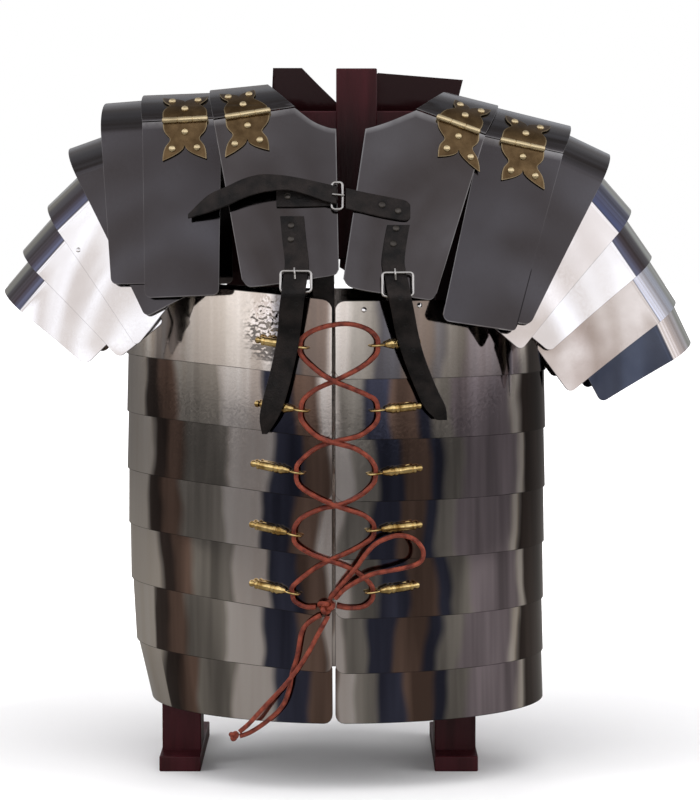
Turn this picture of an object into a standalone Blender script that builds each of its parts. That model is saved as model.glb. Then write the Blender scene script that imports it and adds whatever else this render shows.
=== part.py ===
"""Segmented plate armour on a low wooden stand, in metres.

X runs to the viewer's right, the front faces -Y, and Z is up from the floor.
"""

import math

import bmesh
import bpy
import numpy as np

MM = 0.001

# What moves the middle of the whole to the origin, in mm. The tables measure X from the front opening.
SHIFT = np.array([-11.0, 3.6, 0.0])

# Sheet steel and the spaces between sheets
STEEL = 1.2
LAYER_STEP = 2.4
SEAM = 0.8

# Girdle of hoops: an oval wall, open down the front
GIRDLE_DEPTH = 145.0
GIRDLE_SIDE = 205.0
FRONT_OPENING_X = -2.2
FRONT_OPENING_HALF = 2.4
HOOP_OVERLAP = 13.0
HOOP_LEAN = 2.0
HOOP_CORNER = 9.0
HOOP_SEGMENTS = 20
FRONT_RISE_POWER = 1.6
# Where the points of a rounded corner lie, as shares of its radius
CORNER_SHARES = (0, 0.1, 0.4, 1)

# A row for each edge: front height, rise at the viewer's left, reach to the left and to the right
HOOP_EDGES = (
    {"height": 460.6, "left_rise": 15, "left": 205.0, "right": 204.0},
    {"height": 388.1, "left_rise": 16, "left": 205.0, "right": 204.0},
    {"height": 332.0, "left_rise": 16, "left": 205.0, "right": 204.0},
    {"height": 274.3, "left_rise": 18, "left": 205.0, "right": 204.0},
    {"height": 220.1, "left_rise": 19, "left": 204.0, "right": 203.5},
    {"height": 164.8, "left_rise": 20, "left": 202.0, "right": 203.0},
    {"height": 113.0, "left_rise": 11, "left": 197.0, "right": 203.0},
    {"height": 65.8, "left_rise": 1, "left": 182.0, "right": 203.0},
)

# Shoulder guards
SHOULDER_DEPTH = 74.0
ARCH_DROP = 32.0
CHEST_TOP = 640.0
CHEST_FULL = 472.0
LEAN_LIMIT = 1.35
CHEST_CLEAR = 3.5
CHEST_REACH = 300.0
ARCH_STEPS = 6
PLATE_STEPS = 4
STRIP_CORNER = 6.0

# Each strip in mm: crest line, then the line of the front end, each from its inner to its outer end
STRIPS = {
    "left": (
        {"strip": 3, "crest": ((-167, 650.0), (-222.8, 645.5)), "end": ((-158, 476), (-211, 474))},
        {"strip": 4, "crest": ((-205, 621.0), (-258.1, 602.1)), "end": ((-128, 470), (-178, 444))},
        {"strip": 5, "crest": ((-240, 585.0), (-279.3, 547.4)), "end": ((-150, 462), (-187, 416))},
        {"strip": 6, "crest": ((-262, 551.0), (-303.8, 504.6)), "end": ((-160, 440), (-204, 405))},
        {"strip": 7, "crest": ((-286, 509.0), (-322.1, 466.6)), "end": ((-195, 438), (-237, 397))},
    ),
    "right": (
        {"strip": 3, "crest": ((210, 622.0), (263.5, 596.8)), "end": ((130, 446), (181, 437))},
        {"strip": 4, "crest": ((247.5, 586.0), (284.9, 543.5)), "end": ((130, 450), (172, 413))},
        {"strip": 5, "crest": ((275, 542.0), (305.3, 498.8)), "end": ((163, 442), (200, 411))},
        {"strip": 6, "crest": ((298.5, 501.6), (329.1, 454.9)), "end": ((186, 417), (220, 371))},
        {"strip": 7, "crest": ((322, 462.0), (344.2, 415.8)), "end": ((226, 407), (251, 361))},
    ),
}

# The two hinged strips of each side: crest line, hinge line, and the corners of the front end
HINGED = {
    "left": (
        {"strip": 1, "crest": ((-66.6, 663.8), (-121.9, 658.2)),
         "hinge": ((-38.8, 639.4), (-114.9, 627.8)), "back_hinge_in": (-70.5, 636.6)},
        {"strip": 2, "crest": ((-107.5, 656.2), (-185.9, 653.2)),
         "hinge": ((-107.5, 629.0), (-181.7, 625.3)), "end": ((-108, 466), (-178.4, 462))},
    ),
    "right": (
        {"strip": 1, "crest": ((104.0, 656.6), (156.0, 643.6)),
         "hinge": ((74.9, 637.1), (139.5, 613.6)), "back_hinge_in": (101.0, 627.4)},
        {"strip": 2, "crest": ((142.0, 644.6), (225.5, 624.0)),
         "hinge": ((136.0, 612.4), (212.4, 595.9)), "end": ((98.5, 443), (168, 431.5))},
    ),
}

# Breast plates, a row for each station from the neck gap outwards: top edge, then bottom edge
BREAST = {
    "left": (
        {"top": (0.0, 619.3), "bottom": (2.7, 490.0)},
        {"top": (-8.0, 620.6), "bottom": (-2.0, 485.0)},
        {"top": (-22.0, 626.5), "bottom": (-20.0, 481.8)},
        {"top": (-38.8, 639.0), "bottom": (-45.0, 477.8)},
        {"top": (-76.0, 633.3), "bottom": (-72.0, 474.3)},
        {"top": (-107.0, 628.6), "bottom": (-81.0, 474.6)},
        {"top": (-114.9, 627.4), "bottom": (-86.5, 480.5)},
    ),
    "right": (
        {"top": (27.3, 619.3), "bottom": (6.8, 482.0)},
        {"top": (36.0, 621.5), "bottom": (13.0, 474.5)},
        {"top": (52.0, 627.0), "bottom": (34.0, 469.6)},
        {"top": (74.9, 636.7), "bottom": (54.0, 467.4)},
        {"top": (104.0, 626.1), "bottom": (78.0, 463.0)},
        {"top": (131.0, 616.3), "bottom": (87.5, 462.4)},
        {"top": (139.5, 613.2), "bottom": (92.5, 468.0)},
    ),
}

# Back plates behind the neck stand above the shoulders. Stations run from the spine outwards.
COLLAR = {
    "left": (
        {"rim": (-1.0, 649.5), "seat": (-0.5, 600.0), "bottom": (-1.5, 482.0)},
        {"rim": (-20.0, 668.0), "seat": (-18.0, 612.0), "bottom": (-18.0, 474.0)},
        {"rim": (-35.3, 683.6), "seat": (-36.0, 628.0), "bottom": (-38.0, 468.0)},
        {"rim": (-64.3, 683.6), "seat": (-66.0, 637.0), "bottom": (-66.0, 457.0)},
    ),
    "right": (
        {"rim": (14.0, 657.7), "seat": (3.0, 600.0), "bottom": (2.0, 482.0)},
        {"rim": (26.0, 668.0), "seat": (22.0, 608.0), "bottom": (16.0, 474.0)},
        {"rim": (41.0, 678.7), "seat": (44.0, 620.0), "bottom": (38.0, 468.0)},
        {"rim": (126.3, 671.7), "seat": (93.0, 630.0), "bottom": (72.0, 456.0)},
    ),
}
BACK_OUTER = {
    "left": ({"top": (-89.0, 632.3), "bottom": (-88.0, 457.0)},
             {"top": (-112.0, 627.9), "bottom": (-109.0, 459.0)},
             {"top": (-114.9, 627.4), "bottom": (-115.0, 466.0)}),
    "right": ({"top": (115.0, 622.0), "bottom": (92.0, 456.0)},
              {"top": (136.0, 614.5), "bottom": (109.0, 458.0)},
              {"top": (139.5, 613.1), "bottom": (114.0, 465.0)}),
}

# Butterfly hinges: half width and distance from the pin, for each row of a leaf
LEAF_ROWS = (
    {"away": 0.3, "half": 20.5},
    {"away": 9.0, "half": 20.2},
    {"away": 14.0, "half": 17.2},
    {"away": 19.0, "half": 13.8},
    {"away": 26.0, "half": 18.2},
)
LEAF_TIP = {"away": 39.5, "half": 20.5}
LEAF_THICK = 1.2
# How much height a lower leaf takes for its length, on the leaning chest
LEAF_SLOPE = 0.95
HINGE_GAP = 1.0
# Where the middle of each front hinge lies, as a share of its hinge line from the neck
HINGE_MIDDLES = {"left": {1: 0.575, 2: 0.455}, "right": {1: 0.605, 2: 0.50}}
PIN_RADIUS = 2.5
PIN_SINK = 0.2
PIN_RISE = 0.8
PIN_HALF = 21.0

# Brass tie fittings, a row for each: the knob end and the centre of the ring
FITTINGS = {
    "left": (
        {"knob": (-74.7, 424.8), "ring": (-33.0, 418.5)},
        {"knob": (-75.6, 365.7), "ring": (-32.5, 360.0)},
        {"knob": (-79.5, 310.0), "ring": (-36.5, 302.5)},
        {"knob": (-80.9, 253.3), "ring": (-39.0, 244.5)},
        {"knob": (-81.1, 198.1), "ring": (-40.5, 190.0)},
    ),
    "right": (
        {"knob": (78.2, 423.0), "ring": (38.7, 420.0)},
        {"knob": (79.5, 363.5), "ring": (38.7, 360.0)},
        {"knob": (80.4, 305.7), "ring": (36.5, 301.2)},
        {"knob": (80.5, 252.6), "ring": (35.1, 248.6)},
        {"knob": (77.8, 196.2), "ring": (34.2, 191.0)},
    ),
}
FITTING_PROFILE = (
    {"along": 0.0, "radius": 1.7},
    {"along": 2.0, "radius": 3.4},
    {"along": 6.0, "radius": 2.5},
    {"along": 8.5, "radius": 4.2},
    {"along": 24.0, "radius": 4.0},
    {"along": 28.0, "radius": 4.5},
    {"along": 31.0, "radius": 4.4},
    {"along": 33.0, "radius": 2.2},
    {"along": 37.5, "radius": 1.7},
)
FITTING_SIDES = 8
FITTING_LIFT = 6.8
FOOT_ALONG = 14.0
FOOT_RADIUS = 2.6
RING_RADIUS = 4.7
RING_WIRE = 1.0
RING_POINTS = 10
# Small turns, in radians, that keep joined pieces' faces from lying in one plane
RING_TURN = 0.13
ROD_TURN = 0.3

# Leather straps. Each row is a place on the strap's middle line: how far it lies in front of
# the breast plate, or of the body's middle where it hangs free, and half its width.
STRAP_THICK = 2.2
HANGING = {
    "left": (
        {"x": -40.5, "z": 538, "lift": 1.75, "half": 11},
        {"x": -38.5, "z": 518, "lift": 1.75, "half": 11},
        {"x": -36.0, "z": 498, "lift": 1.75, "half": 11},
        {"x": -36.3, "z": 489, "lift": 1.75, "half": 11},
        {"x": -37.3, "z": 481, "lift": 3.1, "half": 11},
        {"x": -38.0, "z": 474.5, "lift": 5.6, "half": 11},
        {"x": -39.0, "z": 467.5, "front": 170.2, "half": 11},
        {"x": -41.0, "z": 452, "front": 165.0, "half": 11},
        {"x": -43.0, "z": 432, "front": 157.0, "half": 10.5},
        {"x": -46.5, "z": 412, "front": 154.3, "half": 10.5},
        {"x": -51.0, "z": 392, "front": 153.0, "half": 10.5},
        {"x": -57.0, "z": 370, "front": 152.8, "half": 10.5},
        {"x": -62.0, "z": 353, "front": 151.0, "half": 8.5},
        {"x": -66.0, "z": 338, "front": 145.5, "half": 2.5},
    ),
    "right": (
        {"x": 57.5, "z": 530, "lift": 1.85, "half": 10.5},
        {"x": 54.5, "z": 514, "lift": 1.85, "half": 10.5},
        {"x": 52.5, "z": 498, "lift": 1.85, "half": 10.5},
        {"x": 53.5, "z": 489, "lift": 1.85, "half": 10.5},
        {"x": 55.5, "z": 480, "lift": 2.8, "half": 10.5},
        {"x": 57.0, "z": 472, "lift": 6.0, "half": 10.5},
        {"x": 58.5, "z": 464.5, "front": 169.8, "half": 10.5},
        {"x": 61.5, "z": 450, "front": 163.5, "half": 10.5},
        {"x": 65.0, "z": 432, "front": 154.0, "half": 10.5},
        {"x": 70.0, "z": 414, "front": 151.5, "half": 10},
        {"x": 76.5, "z": 396, "front": 146.0, "half": 10},
        {"x": 83.5, "z": 379, "front": 141.0, "half": 10},
        {"x": 91.5, "z": 362, "front": 138.5, "half": 10},
        {"x": 98.0, "z": 350, "front": 135.0, "half": 5},
    ),
}
# The strap across the neck gap: under the buckle's bar, back over it, and away to a pointed tip
CROSS_LEFT = (
    {"x": -55.0, "z": 555, "lift": 1.5, "half": 8.5},
    {"x": -40.0, "z": 555, "lift": 1.5, "half": 8.5},
    {"x": -24.0, "z": 555.5, "lift": 1.5, "half": 8.5},
    {"x": -10.0, "z": 556, "lift": 1.5, "half": 8.5},
    {"x": -3.8, "z": 556.5, "lift": 1.5, "half": 8.5},
    {"x": -1.3, "z": 557, "lift": 2.0, "half": 8.3},
    {"x": -0.2, "z": 557, "lift": 3.4, "half": 8.2},
    {"x": -0.2, "z": 557.5, "lift": 5.2, "half": 8.2},
    {"x": -1.3, "z": 558, "lift": 6.7, "half": 8.2},
    {"x": -3.8, "z": 558.5, "lift": 7.3, "half": 8.2},
    {"x": -12.0, "z": 560.5, "lift": 8.0, "half": 8.0},
    {"x": -27.5, "z": 565, "lift": 10.0, "half": 7.0},
    {"x": -44.0, "z": 568.5, "lift": 12.0, "half": 6.5},
    {"x": -58.0, "z": 569, "lift": 13.0, "half": 7.5},
    {"x": -70.0, "z": 568, "lift": 13.0, "half": 8.5},
    {"x": -84.5, "z": 564, "lift": 12.0, "half": 9.0},
    {"x": -101.0, "z": 556.5, "lift": 9.5, "half": 9.0},
    {"x": -119.0, "z": 549, "lift": 6.0, "half": 8.0},
    {"x": -137.0, "z": 538, "lift": 3.0, "half": 2.0},
)
CROSS_RIGHT = (
    {"x": 8.9, "z": 554.5, "lift": 4.2, "half": 9.5},
    {"x": 14.0, "z": 553.5, "lift": 3.2, "half": 9.5},
    {"x": 22.0, "z": 551.5, "lift": 1.75, "half": 9.5},
    {"x": 38.0, "z": 548, "lift": 1.75, "half": 9.8},
    {"x": 56.0, "z": 544.5, "lift": 1.75, "half": 9.8},
    {"x": 65.0, "z": 543, "lift": 1.75, "half": 9.0},
    {"x": 68.5, "z": 542.5, "lift": 1.75, "half": 6.0},
)
# Short tabs from inside the top hoop to the lower bars of the hanging buckles
TABS = {
    "left": (
        {"x": -36.5, "z": 438, "behind": 5.6, "half": 8},
        {"x": -36.5, "z": 455, "behind": 5.6, "half": 8},
        {"x": -36.5, "z": 466.6, "behind": 5.6, "half": 8},
        {"x": -36.5, "z": 467.5, "front": 142.5, "half": 8},
        {"x": -36.5, "z": 467.4, "front": 152.0, "half": 9},
        {"x": -36.5, "z": 467.1, "front": 163.0, "half": 10},
    ),
    "right": (
        {"x": 56.0, "z": 436, "behind": 5.6, "half": 10},
        {"x": 56.0, "z": 452, "behind": 5.6, "half": 10},
        {"x": 56.0, "z": 461.7, "behind": 5.6, "half": 9},
        {"x": 56.0, "z": 462.9, "front": 139.5, "half": 9},
        {"x": 56.0, "z": 463.0, "front": 149.0, "half": 10},
        {"x": 56.0, "z": 462.6, "front": 160.6, "half": 10},
    ),
}
INNER_TAB = (
    {"x": -11.5, "z": 440, "behind": 5.6, "half": 10},
    {"x": -11.5, "z": 462, "behind": 5.6, "half": 10},
    {"x": -11.5, "z": 478, "front": 147.0, "half": 10},
    {"x": -11.5, "z": 500, "front": 149.3, "half": 9.5},
)

# Wire buckles: centre, half width, half height, and the lift of the frame at its top and bottom
WIRE = 1.3
BUCKLES = {
    "left": {"x": -36.5, "z": 479.3, "wide": 14.0, "high": 9.3, "top": 4.9, "low": 2.0},
    "right": {"x": 56.5, "z": 476.6, "wide": 14.0, "high": 10.6, "top": 5.2, "low": 2.1},
    "centre": {"x": 1.1, "z": 557.0, "wide": 4.9, "high": 12.3, "top": 4.3, "low": 4.3},
}

# The lace: x, height and distance in front of the body's middle, in mm
LACE_RADIUS = 2.2
LACE_STEP = 9.0
LACE_ROUTE = (
    (-18.6, 177, 151), (-29, 177, 149), (-38.6, 182.5, 149), (-40.5, 190, 148.2),
    (-39.4, 197, 149), (-21, 212, 148), (-4, 221, 148), (13, 228.5, 148), (28, 237, 148.5),
    (34.4, 243, 149.2), (35.1, 248.6, 148.8), (34.3, 255, 149.5), (26, 262.5, 151.5), (11, 268, 153),
    (-1, 272, 153), (-18, 279.5, 151), (-32, 288, 149), (-36.5, 295, 149.2),
    (-36.5, 302.5, 148.7), (-34.6, 311, 149.2), (-18, 325, 148), (0, 331, 148), (21, 336, 148.5),
    (34, 345, 149), (38.5, 352, 149.1), (38.7, 360, 148.4), (36.7, 369, 149.4), (28, 374.5, 151),
    (13, 381, 153), (-1, 386.5, 153), (-14, 394, 152), (-27, 405, 150.5), (-32.6, 412, 149.6),
    (-33, 418.5, 149.1), (-30.8, 427, 149.9), (-20, 434, 150), (-4, 438.5, 149), (13, 439.5, 149),
    (29, 435, 149.3), (37.4, 427.5, 149), (38.7, 420, 148.3), (36.7, 411, 148.7), (24, 400, 148),
    (1, 388, 148), (-18, 379.5, 148), (-29.9, 370, 149.1), (-32.5, 360, 149.2), (-31.4, 350, 149.7),
    (-19, 337, 151.5), (-3, 330.5, 153), (17, 325, 153), (30, 316.5, 151), (36.1, 308, 149.4),
    (36.5, 301.2, 148.7), (34.6, 292, 149.2), (22, 280.5, 148), (4, 272, 148), (-13, 268.5, 148),
    (-31, 260.5, 148.7), (-38.2, 252, 149.1), (-39, 244.5, 148.4), (-37.9, 236.5, 149.2),
    (-27, 228.5, 151), (-11, 222, 153), (7, 216, 153), (21, 208.5, 151.5), (32.2, 198, 149.6),
    (34.2, 191, 149), (33.3, 183.5, 149.3), (25, 177, 149.3), (11, 176, 150), (0.7, 178, 151),
)
BOW_ROUTE = (
    (-5.6, 185.2, 153.5), (0, 193, 157), (13, 208, 158.5), (20, 217, 158.8), (27, 227, 158.8),
    (38, 238, 158), (56, 244.5, 156.5), (71, 241.5, 155.5), (80, 231.5, 155), (79, 221, 155),
    (69, 215.8, 155.5), (51, 212, 156.5), (34, 209, 158), (20, 202.5, 159), (8, 195, 158.5),
    (-0.6, 185.6, 155.5),
)
TAIL_A_ROUTE = (
    (-14.0, 169.6, 152), (-20, 166.5, 152.5), (-28, 160, 151.5), (-32.4, 151.4, 150.3),
    (-36.2, 130, 149), (-40.8, 115, 148.8), (-43.8, 99, 148.8), (-50.5, 83, 148.8),
    (-65, 68.8, 148.8), (-80, 58.8, 148.8), (-89.8, 55.2, 148.8),
)
TAIL_B_ROUTE = (
    (-7.5, 168.9, 153.2), (-10.5, 163, 153.8), (-17, 151.4, 154), (-27, 132.7, 154),
    (-39, 115, 154), (-50, 101.5, 153.8), (-68.5, 81.6, 153), (-81, 67.5, 151.5),
    (-89.8, 59.6, 150),
)
KNOT = {"place": (-9.0, 177.6, 153.0), "size": (9.2, 7.4, 6.0)}
END_KNOT = {"place": (-95.3, 55.5, 149.2), "size": (4.9, 4.9, 4.0)}

# Stand: two legs on runners, a board under the shoulder plates and a post for the neck
LEG_LEFT = (-171.0, -133.0)
LEG_RIGHT = (96.0, 136.0)
LEG_HALF_DEPTH = 25.0
LEG_FOOT = 5.0
LEG_TOP = 604.0
RUNNER_FRONT = 55.0
RUNNER_BACK = 110.0
RUNNER_HEIGHT = 15.0
RUNNER_SIDE = 1.0
POST_MORE_DEPTH = 2.0
POST = {"left": -0.5, "right": 38.9, "foot": 495.0, "top": 678.9}
BOARD_HALF_DEPTH = 12.0
BOARD_OUTLINE = (
    (-200.0, 644.9), (-66.0, 655.4), (-54.0, 638.0), (88.0, 638.0), (100.0, 654.9),
    (213.0, 618.0), (213.0, 584.0), (-200.0, 606.0),
)

# Colours of the finishes
DARK_STEEL = (0.075, 0.072, 0.075)
BRIGHT_STEEL = (0.42, 0.41, 0.40)
BRASS = (0.45, 0.31, 0.12)
NICKEL = (0.55, 0.54, 0.52)
LEATHER = (0.012, 0.011, 0.010)
LACE = (0.24, 0.055, 0.022)
WOOD = (0.075, 0.010, 0.013)


def clear_scene():
    for item in list(bpy.data.objects):
        bpy.data.objects.remove(item, do_unlink=True)


def finish(name, colour, roughness, metallic):
    """A Principled material with one colour, roughness and metallic value."""
    material = bpy.data.materials.new(name)
    material.use_nodes = True
    shader = material.node_tree.nodes["Principled BSDF"]
    shader.inputs["Base Color"].default_value = (*colour, 1)
    shader.inputs["Roughness"].default_value = roughness
    shader.inputs["Metallic"].default_value = metallic
    return material


def add_object(name, points, faces, material, smooth=True):
    """An object from points in mm and faces, with a material of its own."""
    mesh = bpy.data.meshes.new(name)
    mesh.from_pydata([tuple(p) for p in (np.asarray(points) + SHIFT) * MM], [], [tuple(f) for f in faces])
    mesh.validate()
    mesh.materials.append(material)
    if smooth:
        mesh.shade_smooth()
        mesh.set_sharp_from_angle(angle=math.radians(40))
    item = bpy.data.objects.new(name, mesh)
    bpy.context.scene.collection.objects.link(item)
    return item


def grid_faces(rows, columns):
    """Quads of a grid whose points are stored row by row."""
    quads = []
    for r in range(rows - 1):
        for c in range(columns - 1):
            a = r * columns + c
            quads.append((a, a + 1, a + columns + 1, a + columns))
    return quads


def point_normals(points, faces):
    """The mean of the normals of the faces round each point, as unit vectors."""
    normals = np.zeros_like(points)
    for face in faces:
        corners = points[list(face)]
        turn = np.cross(corners[1] - corners[0], corners[2] - corners[0])
        if len(face) == 4:
            turn = turn + np.cross(corners[2] - corners[0], corners[3] - corners[0])
        for index in face:
            normals[index] += turn
    return normals / np.linalg.norm(normals, axis=1)[:, None]


def wall(points, faces, thickness, inside, outset=0.0):
    """A closed wall: the surface moved out by outset, and again inwards from there by thickness.

    inside is a point on the hollow side, which settles which way is outwards.
    """
    points = np.asarray(points, float)
    normals = point_normals(points, faces)
    if ((points - np.asarray(inside)) * normals).sum(1).mean() < 0:
        faces = [tuple(reversed(f)) for f in faces]
        normals = -normals
    outer = points + normals * outset
    inner = outer - normals * thickness
    count = len(points)
    shell = [tuple(f) for f in faces]
    shell += [tuple(i + count for i in reversed(f)) for f in faces]
    edges = {}
    for face in faces:
        for a, b in zip(face, face[1:] + face[:1]):
            edges[(a, b)] = edges.get((a, b), 0) + 1
    for a, b in edges:
        if (b, a) not in edges:
            shell.append((b, a, a + count, b + count))
    return np.vstack([outer, inner]), shell


def join(base, others):
    """One body from several by Boolean unions, with the others removed."""
    for other in others:
        change = base.modifiers.new("join", "BOOLEAN")
        change.operation = "UNION"
        change.solver = "EXACT"
        change.object = other
    graph = bpy.context.evaluated_depsgraph_get()
    mesh = bpy.data.meshes.new_from_object(base.evaluated_get(graph))
    base.modifiers.clear()
    base.data = mesh
    for other in others:
        bpy.data.objects.remove(other, do_unlink=True)
    return base


def between(ends, share):
    """Points on the straight line between two ends, at each share of its length."""
    first, last = np.asarray(ends[0], float), np.asarray(ends[1], float)
    return first + (last - first) * np.asarray(share)[..., None]


def girdle_front(x, extra=0.0):
    """How far the oval of the girdle stands forward at x: d sqrt(1 - (x / a)^2)."""
    side = GIRDLE_SIDE + extra
    return (GIRDLE_DEPTH + extra) * np.sqrt(np.clip(1 - (np.asarray(x) / side) ** 2, 0, 1))


def chest(x, z):
    """How far the innermost layer of shoulder plates stands forward at x and z.

    It leans out, lower down, to clear the girdle, and falls away sideways as a cosine squared.
    """
    turn = np.clip(np.abs(x) / CHEST_REACH, 0, 1) * math.pi / 2
    full = SHOULDER_DEPTH + (GIRDLE_DEPTH + CHEST_CLEAR - SHOULDER_DEPTH) * np.cos(turn) ** 2
    share = np.clip((CHEST_TOP - np.asarray(z)) / (CHEST_TOP - CHEST_FULL), 0, LEAN_LIMIT)
    return SHOULDER_DEPTH + share * (full - SHOULDER_DEPTH)


def chest_layer(x, z, strip):
    """The outer face of a strip: the chest moved out square to itself by its layers."""
    step = 1.0
    slope_x = (chest(x + step, z) - chest(x - step, z)) / (2 * step)
    slope_z = (chest(x, z + step) - chest(x, z - step)) / (2 * step)
    layers = LAYER_STEP * (7 - strip) + STEEL
    return chest(x, z) + layers * np.sqrt(1 + slope_x**2 + slope_z**2)


def arch_rows(crest, shoulder, strip, angles):
    """Rows of an arch: down by h (1 - cos angle) and out by the layer's depth times its sine."""
    rows = []
    for angle in angles:
        flat = crest + (shoulder - crest) * (1 - math.cos(angle))
        depth = chest_layer(flat[:, 0], flat[:, 1], strip) * math.sin(angle)
        rows.append(np.stack([flat[:, 0], depth, flat[:, 1]], axis=1))
    return rows


def hanging_rows(tops, ends, strip, shares, facing):
    """Rows down a plate from its top edge to its end, on its layer of the chest."""
    rows = []
    for share in shares:
        flat = tops + (ends - tops) * share
        depth = facing * chest_layer(flat[:, 0], flat[:, 1], strip)
        rows.append(np.stack([flat[:, 0], depth, flat[:, 1]], axis=1))
    return rows


def corner_inset(away, radius):
    """How much a rounded corner takes off at a distance from the side: r - sqrt(r^2 - (r - s)^2)."""
    gone = np.clip(radius - np.asarray(away, float), 0, radius)
    return radius - np.sqrt(radius**2 - gone**2)


def strip_columns(width):
    """Shares of a strip's width, with a column at each end of its rounded corners."""
    edge = STRIP_CORNER / width
    return np.array([0, edge, 0.5, 1 - edge, 1])


def one_piece_strip(side, row, material):
    """A strip bent over the shoulder in one piece, from its front end to its back end."""
    name = f"shoulder_strip_{side}_{row['strip']}"
    width = math.dist(*row["crest"])
    shares = strip_columns(width)
    crest = between(row["crest"], shares)
    ends = between(row["end"], shares)
    run = ends - crest
    length = np.linalg.norm(run, axis=1)[:, None]
    direction = run / length
    from_side = np.minimum(shares, 1 - shares) * width
    ends = ends - direction * corner_inset(from_side, STRIP_CORNER)[:, None]
    shoulder = crest + direction * ARCH_DROP
    shares_down = np.linspace(1, 0, PLATE_STEPS + 1)[:-1]
    rows = hanging_rows(shoulder, ends, row["strip"], shares_down, -1)
    rows += arch_rows(crest, shoulder, row["strip"], np.radians(np.linspace(-90, 90, 2 * ARCH_STEPS + 1)))
    rows += hanging_rows(shoulder, ends, row["strip"], shares_down[::-1], 1)
    middle = crest.mean(axis=0)
    inside = (middle[0] * 0.9, 0, middle[1] - 60)
    body = wall(np.vstack(rows), grid_faces(len(rows), len(shares)), STEEL, inside)
    return add_object(name, *body, material)


def top_strip(side, row, material, with_back):
    """The strip over the shoulder behind a front hinge. With a back, it runs on down the back."""
    shares = np.array([0, 0.5, 1])
    if with_back:
        shares = strip_columns(math.dist(*row["crest"]))
    crest = between(row["crest"], shares)
    front = between(row["hinge"], shares)
    front[:, 1] += SEAM
    back = front.copy()
    if "back_hinge_in" in row:
        back = between((row["back_hinge_in"], row["hinge"][1]), shares)
        back[:, 1] += SEAM
    angles = np.radians(np.linspace(90, 0, ARCH_STEPS + 1))
    rows = [r * (1, -1, 1) for r in arch_rows(crest, front, row["strip"], angles)]
    rows += arch_rows(crest, back, row["strip"], angles[::-1][1:])
    name = f"top_plate_{side}_{row['strip']}"
    if with_back:
        name = f"rear_plate_{side}_{row['strip']}"
        from_side = np.minimum(shares, 1 - shares) * math.dist(*row["crest"])
        ends = between(row["end"], shares)
        ends[:, 1] += corner_inset(from_side, STRIP_CORNER)
        rows += hanging_rows(back, ends, row["strip"], np.linspace(0, 1, PLATE_STEPS + 1)[1:], 1)
    middle = crest.mean(axis=0)
    inside = (middle[0], 0, middle[1] - 60)
    body = wall(np.vstack(rows), grid_faces(len(rows), len(shares)), STEEL, inside)
    return add_object(name, *body, material)


def second_plate(side, row, material):
    """The second plate of the chest, hung from the second strip's hinge."""
    shares = strip_columns(math.dist(*row["hinge"]))
    tops = between(row["hinge"], shares)
    ends = between(row["end"], shares)
    from_side = np.minimum(shares, 1 - shares) * math.dist(*row["hinge"])
    ends[:, 1] += corner_inset(from_side, STRIP_CORNER)
    rows = hanging_rows(tops, ends, row["strip"], np.linspace(0, 1, 6), -1)
    body = wall(np.vstack(rows), grid_faces(len(rows), len(shares)), STEEL, (tops[0][0], 0, 550))
    return add_object(f"second_plate_{side}", *body, material)


def breast_plate(side, material):
    """The plate beside the neck, with the neck's curve in its top edge."""
    tops = np.array([row["top"] for row in BREAST[side]])
    ends = np.array([row["bottom"] for row in BREAST[side]])
    rows = hanging_rows(tops, ends, 1, np.linspace(0, 1, 6), -1)
    body = wall(np.vstack(rows), grid_faces(len(rows), len(tops)), STEEL, (tops[3][0], 0, 550))
    return add_object(f"breast_plate_{side}", *body, material)


def back_plate(side, material):
    """The inner back plate: a wall that rises behind the neck, and hangs below the back hinge."""
    collar = COLLAR[side]
    outer = BACK_OUTER[side]
    rims = np.array([row["rim"] for row in collar])
    seats = np.array([row["seat"] for row in collar] + [row["top"] for row in outer])
    ends = np.array([row["bottom"] for row in collar] + [row["bottom"] for row in outer])
    count = len(collar)
    rise = hanging_rows(rims, seats[:count], 1, (0, 0.5), 1)
    hang = hanging_rows(seats, ends, 1, np.linspace(0, 1, 5), 1)
    points = np.vstack(rise + hang)
    faces = grid_faces(2, count)
    start = 2 * count
    for c in range(count - 1):
        faces.append((count + c, count + c + 1, start + c + 1, start + c))
    columns = len(seats)
    for quad in grid_faces(len(hang), columns):
        faces.append(tuple(start + i for i in quad))
    body = wall(points, faces, STEEL, (seats[2][0], 0, 550))
    return add_object(f"back_plate_{side}", *body, material)


def hoop_point(angle, height_share, edge_low, edge_high, top_extra):
    """A point of a hoop's outer face, in mm.

    angle runs from the front opening round by the viewer's right. The wall leans in
    towards its top by HOOP_LEAN, so that each hoop slips inside the one above.
    """
    along = np.sin(angle)
    forward = -np.cos(angle)
    reach_low = np.where(along > 0, edge_low["right"], edge_low["left"])
    reach_high = np.where(along > 0, edge_high["right"], edge_high["left"])
    side = np.abs(along)
    front_rise = 1 - (1 - side) ** FRONT_RISE_POWER
    rise_share = np.where(along > 0, 0, np.where(forward < 0, front_rise, side**2))
    low = edge_low["height"] + edge_low["left_rise"] * rise_share
    high = edge_high["height"] + edge_high["left_rise"] * rise_share
    visible = high - low
    z = low + (visible + top_extra) * height_share
    up = np.clip((z - low) / visible, 0, 1)
    lean = HOOP_LEAN * (z - low) / (visible + top_extra)
    reach = reach_low + (reach_high - reach_low) * up - lean
    depth = GIRDLE_DEPTH - lean
    return np.stack([reach * along, depth * forward, z], axis=-1)


def opening_angle(x):
    """The angle at which the girdle's front edge has that x."""
    return math.asin(x / GIRDLE_SIDE)


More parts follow.
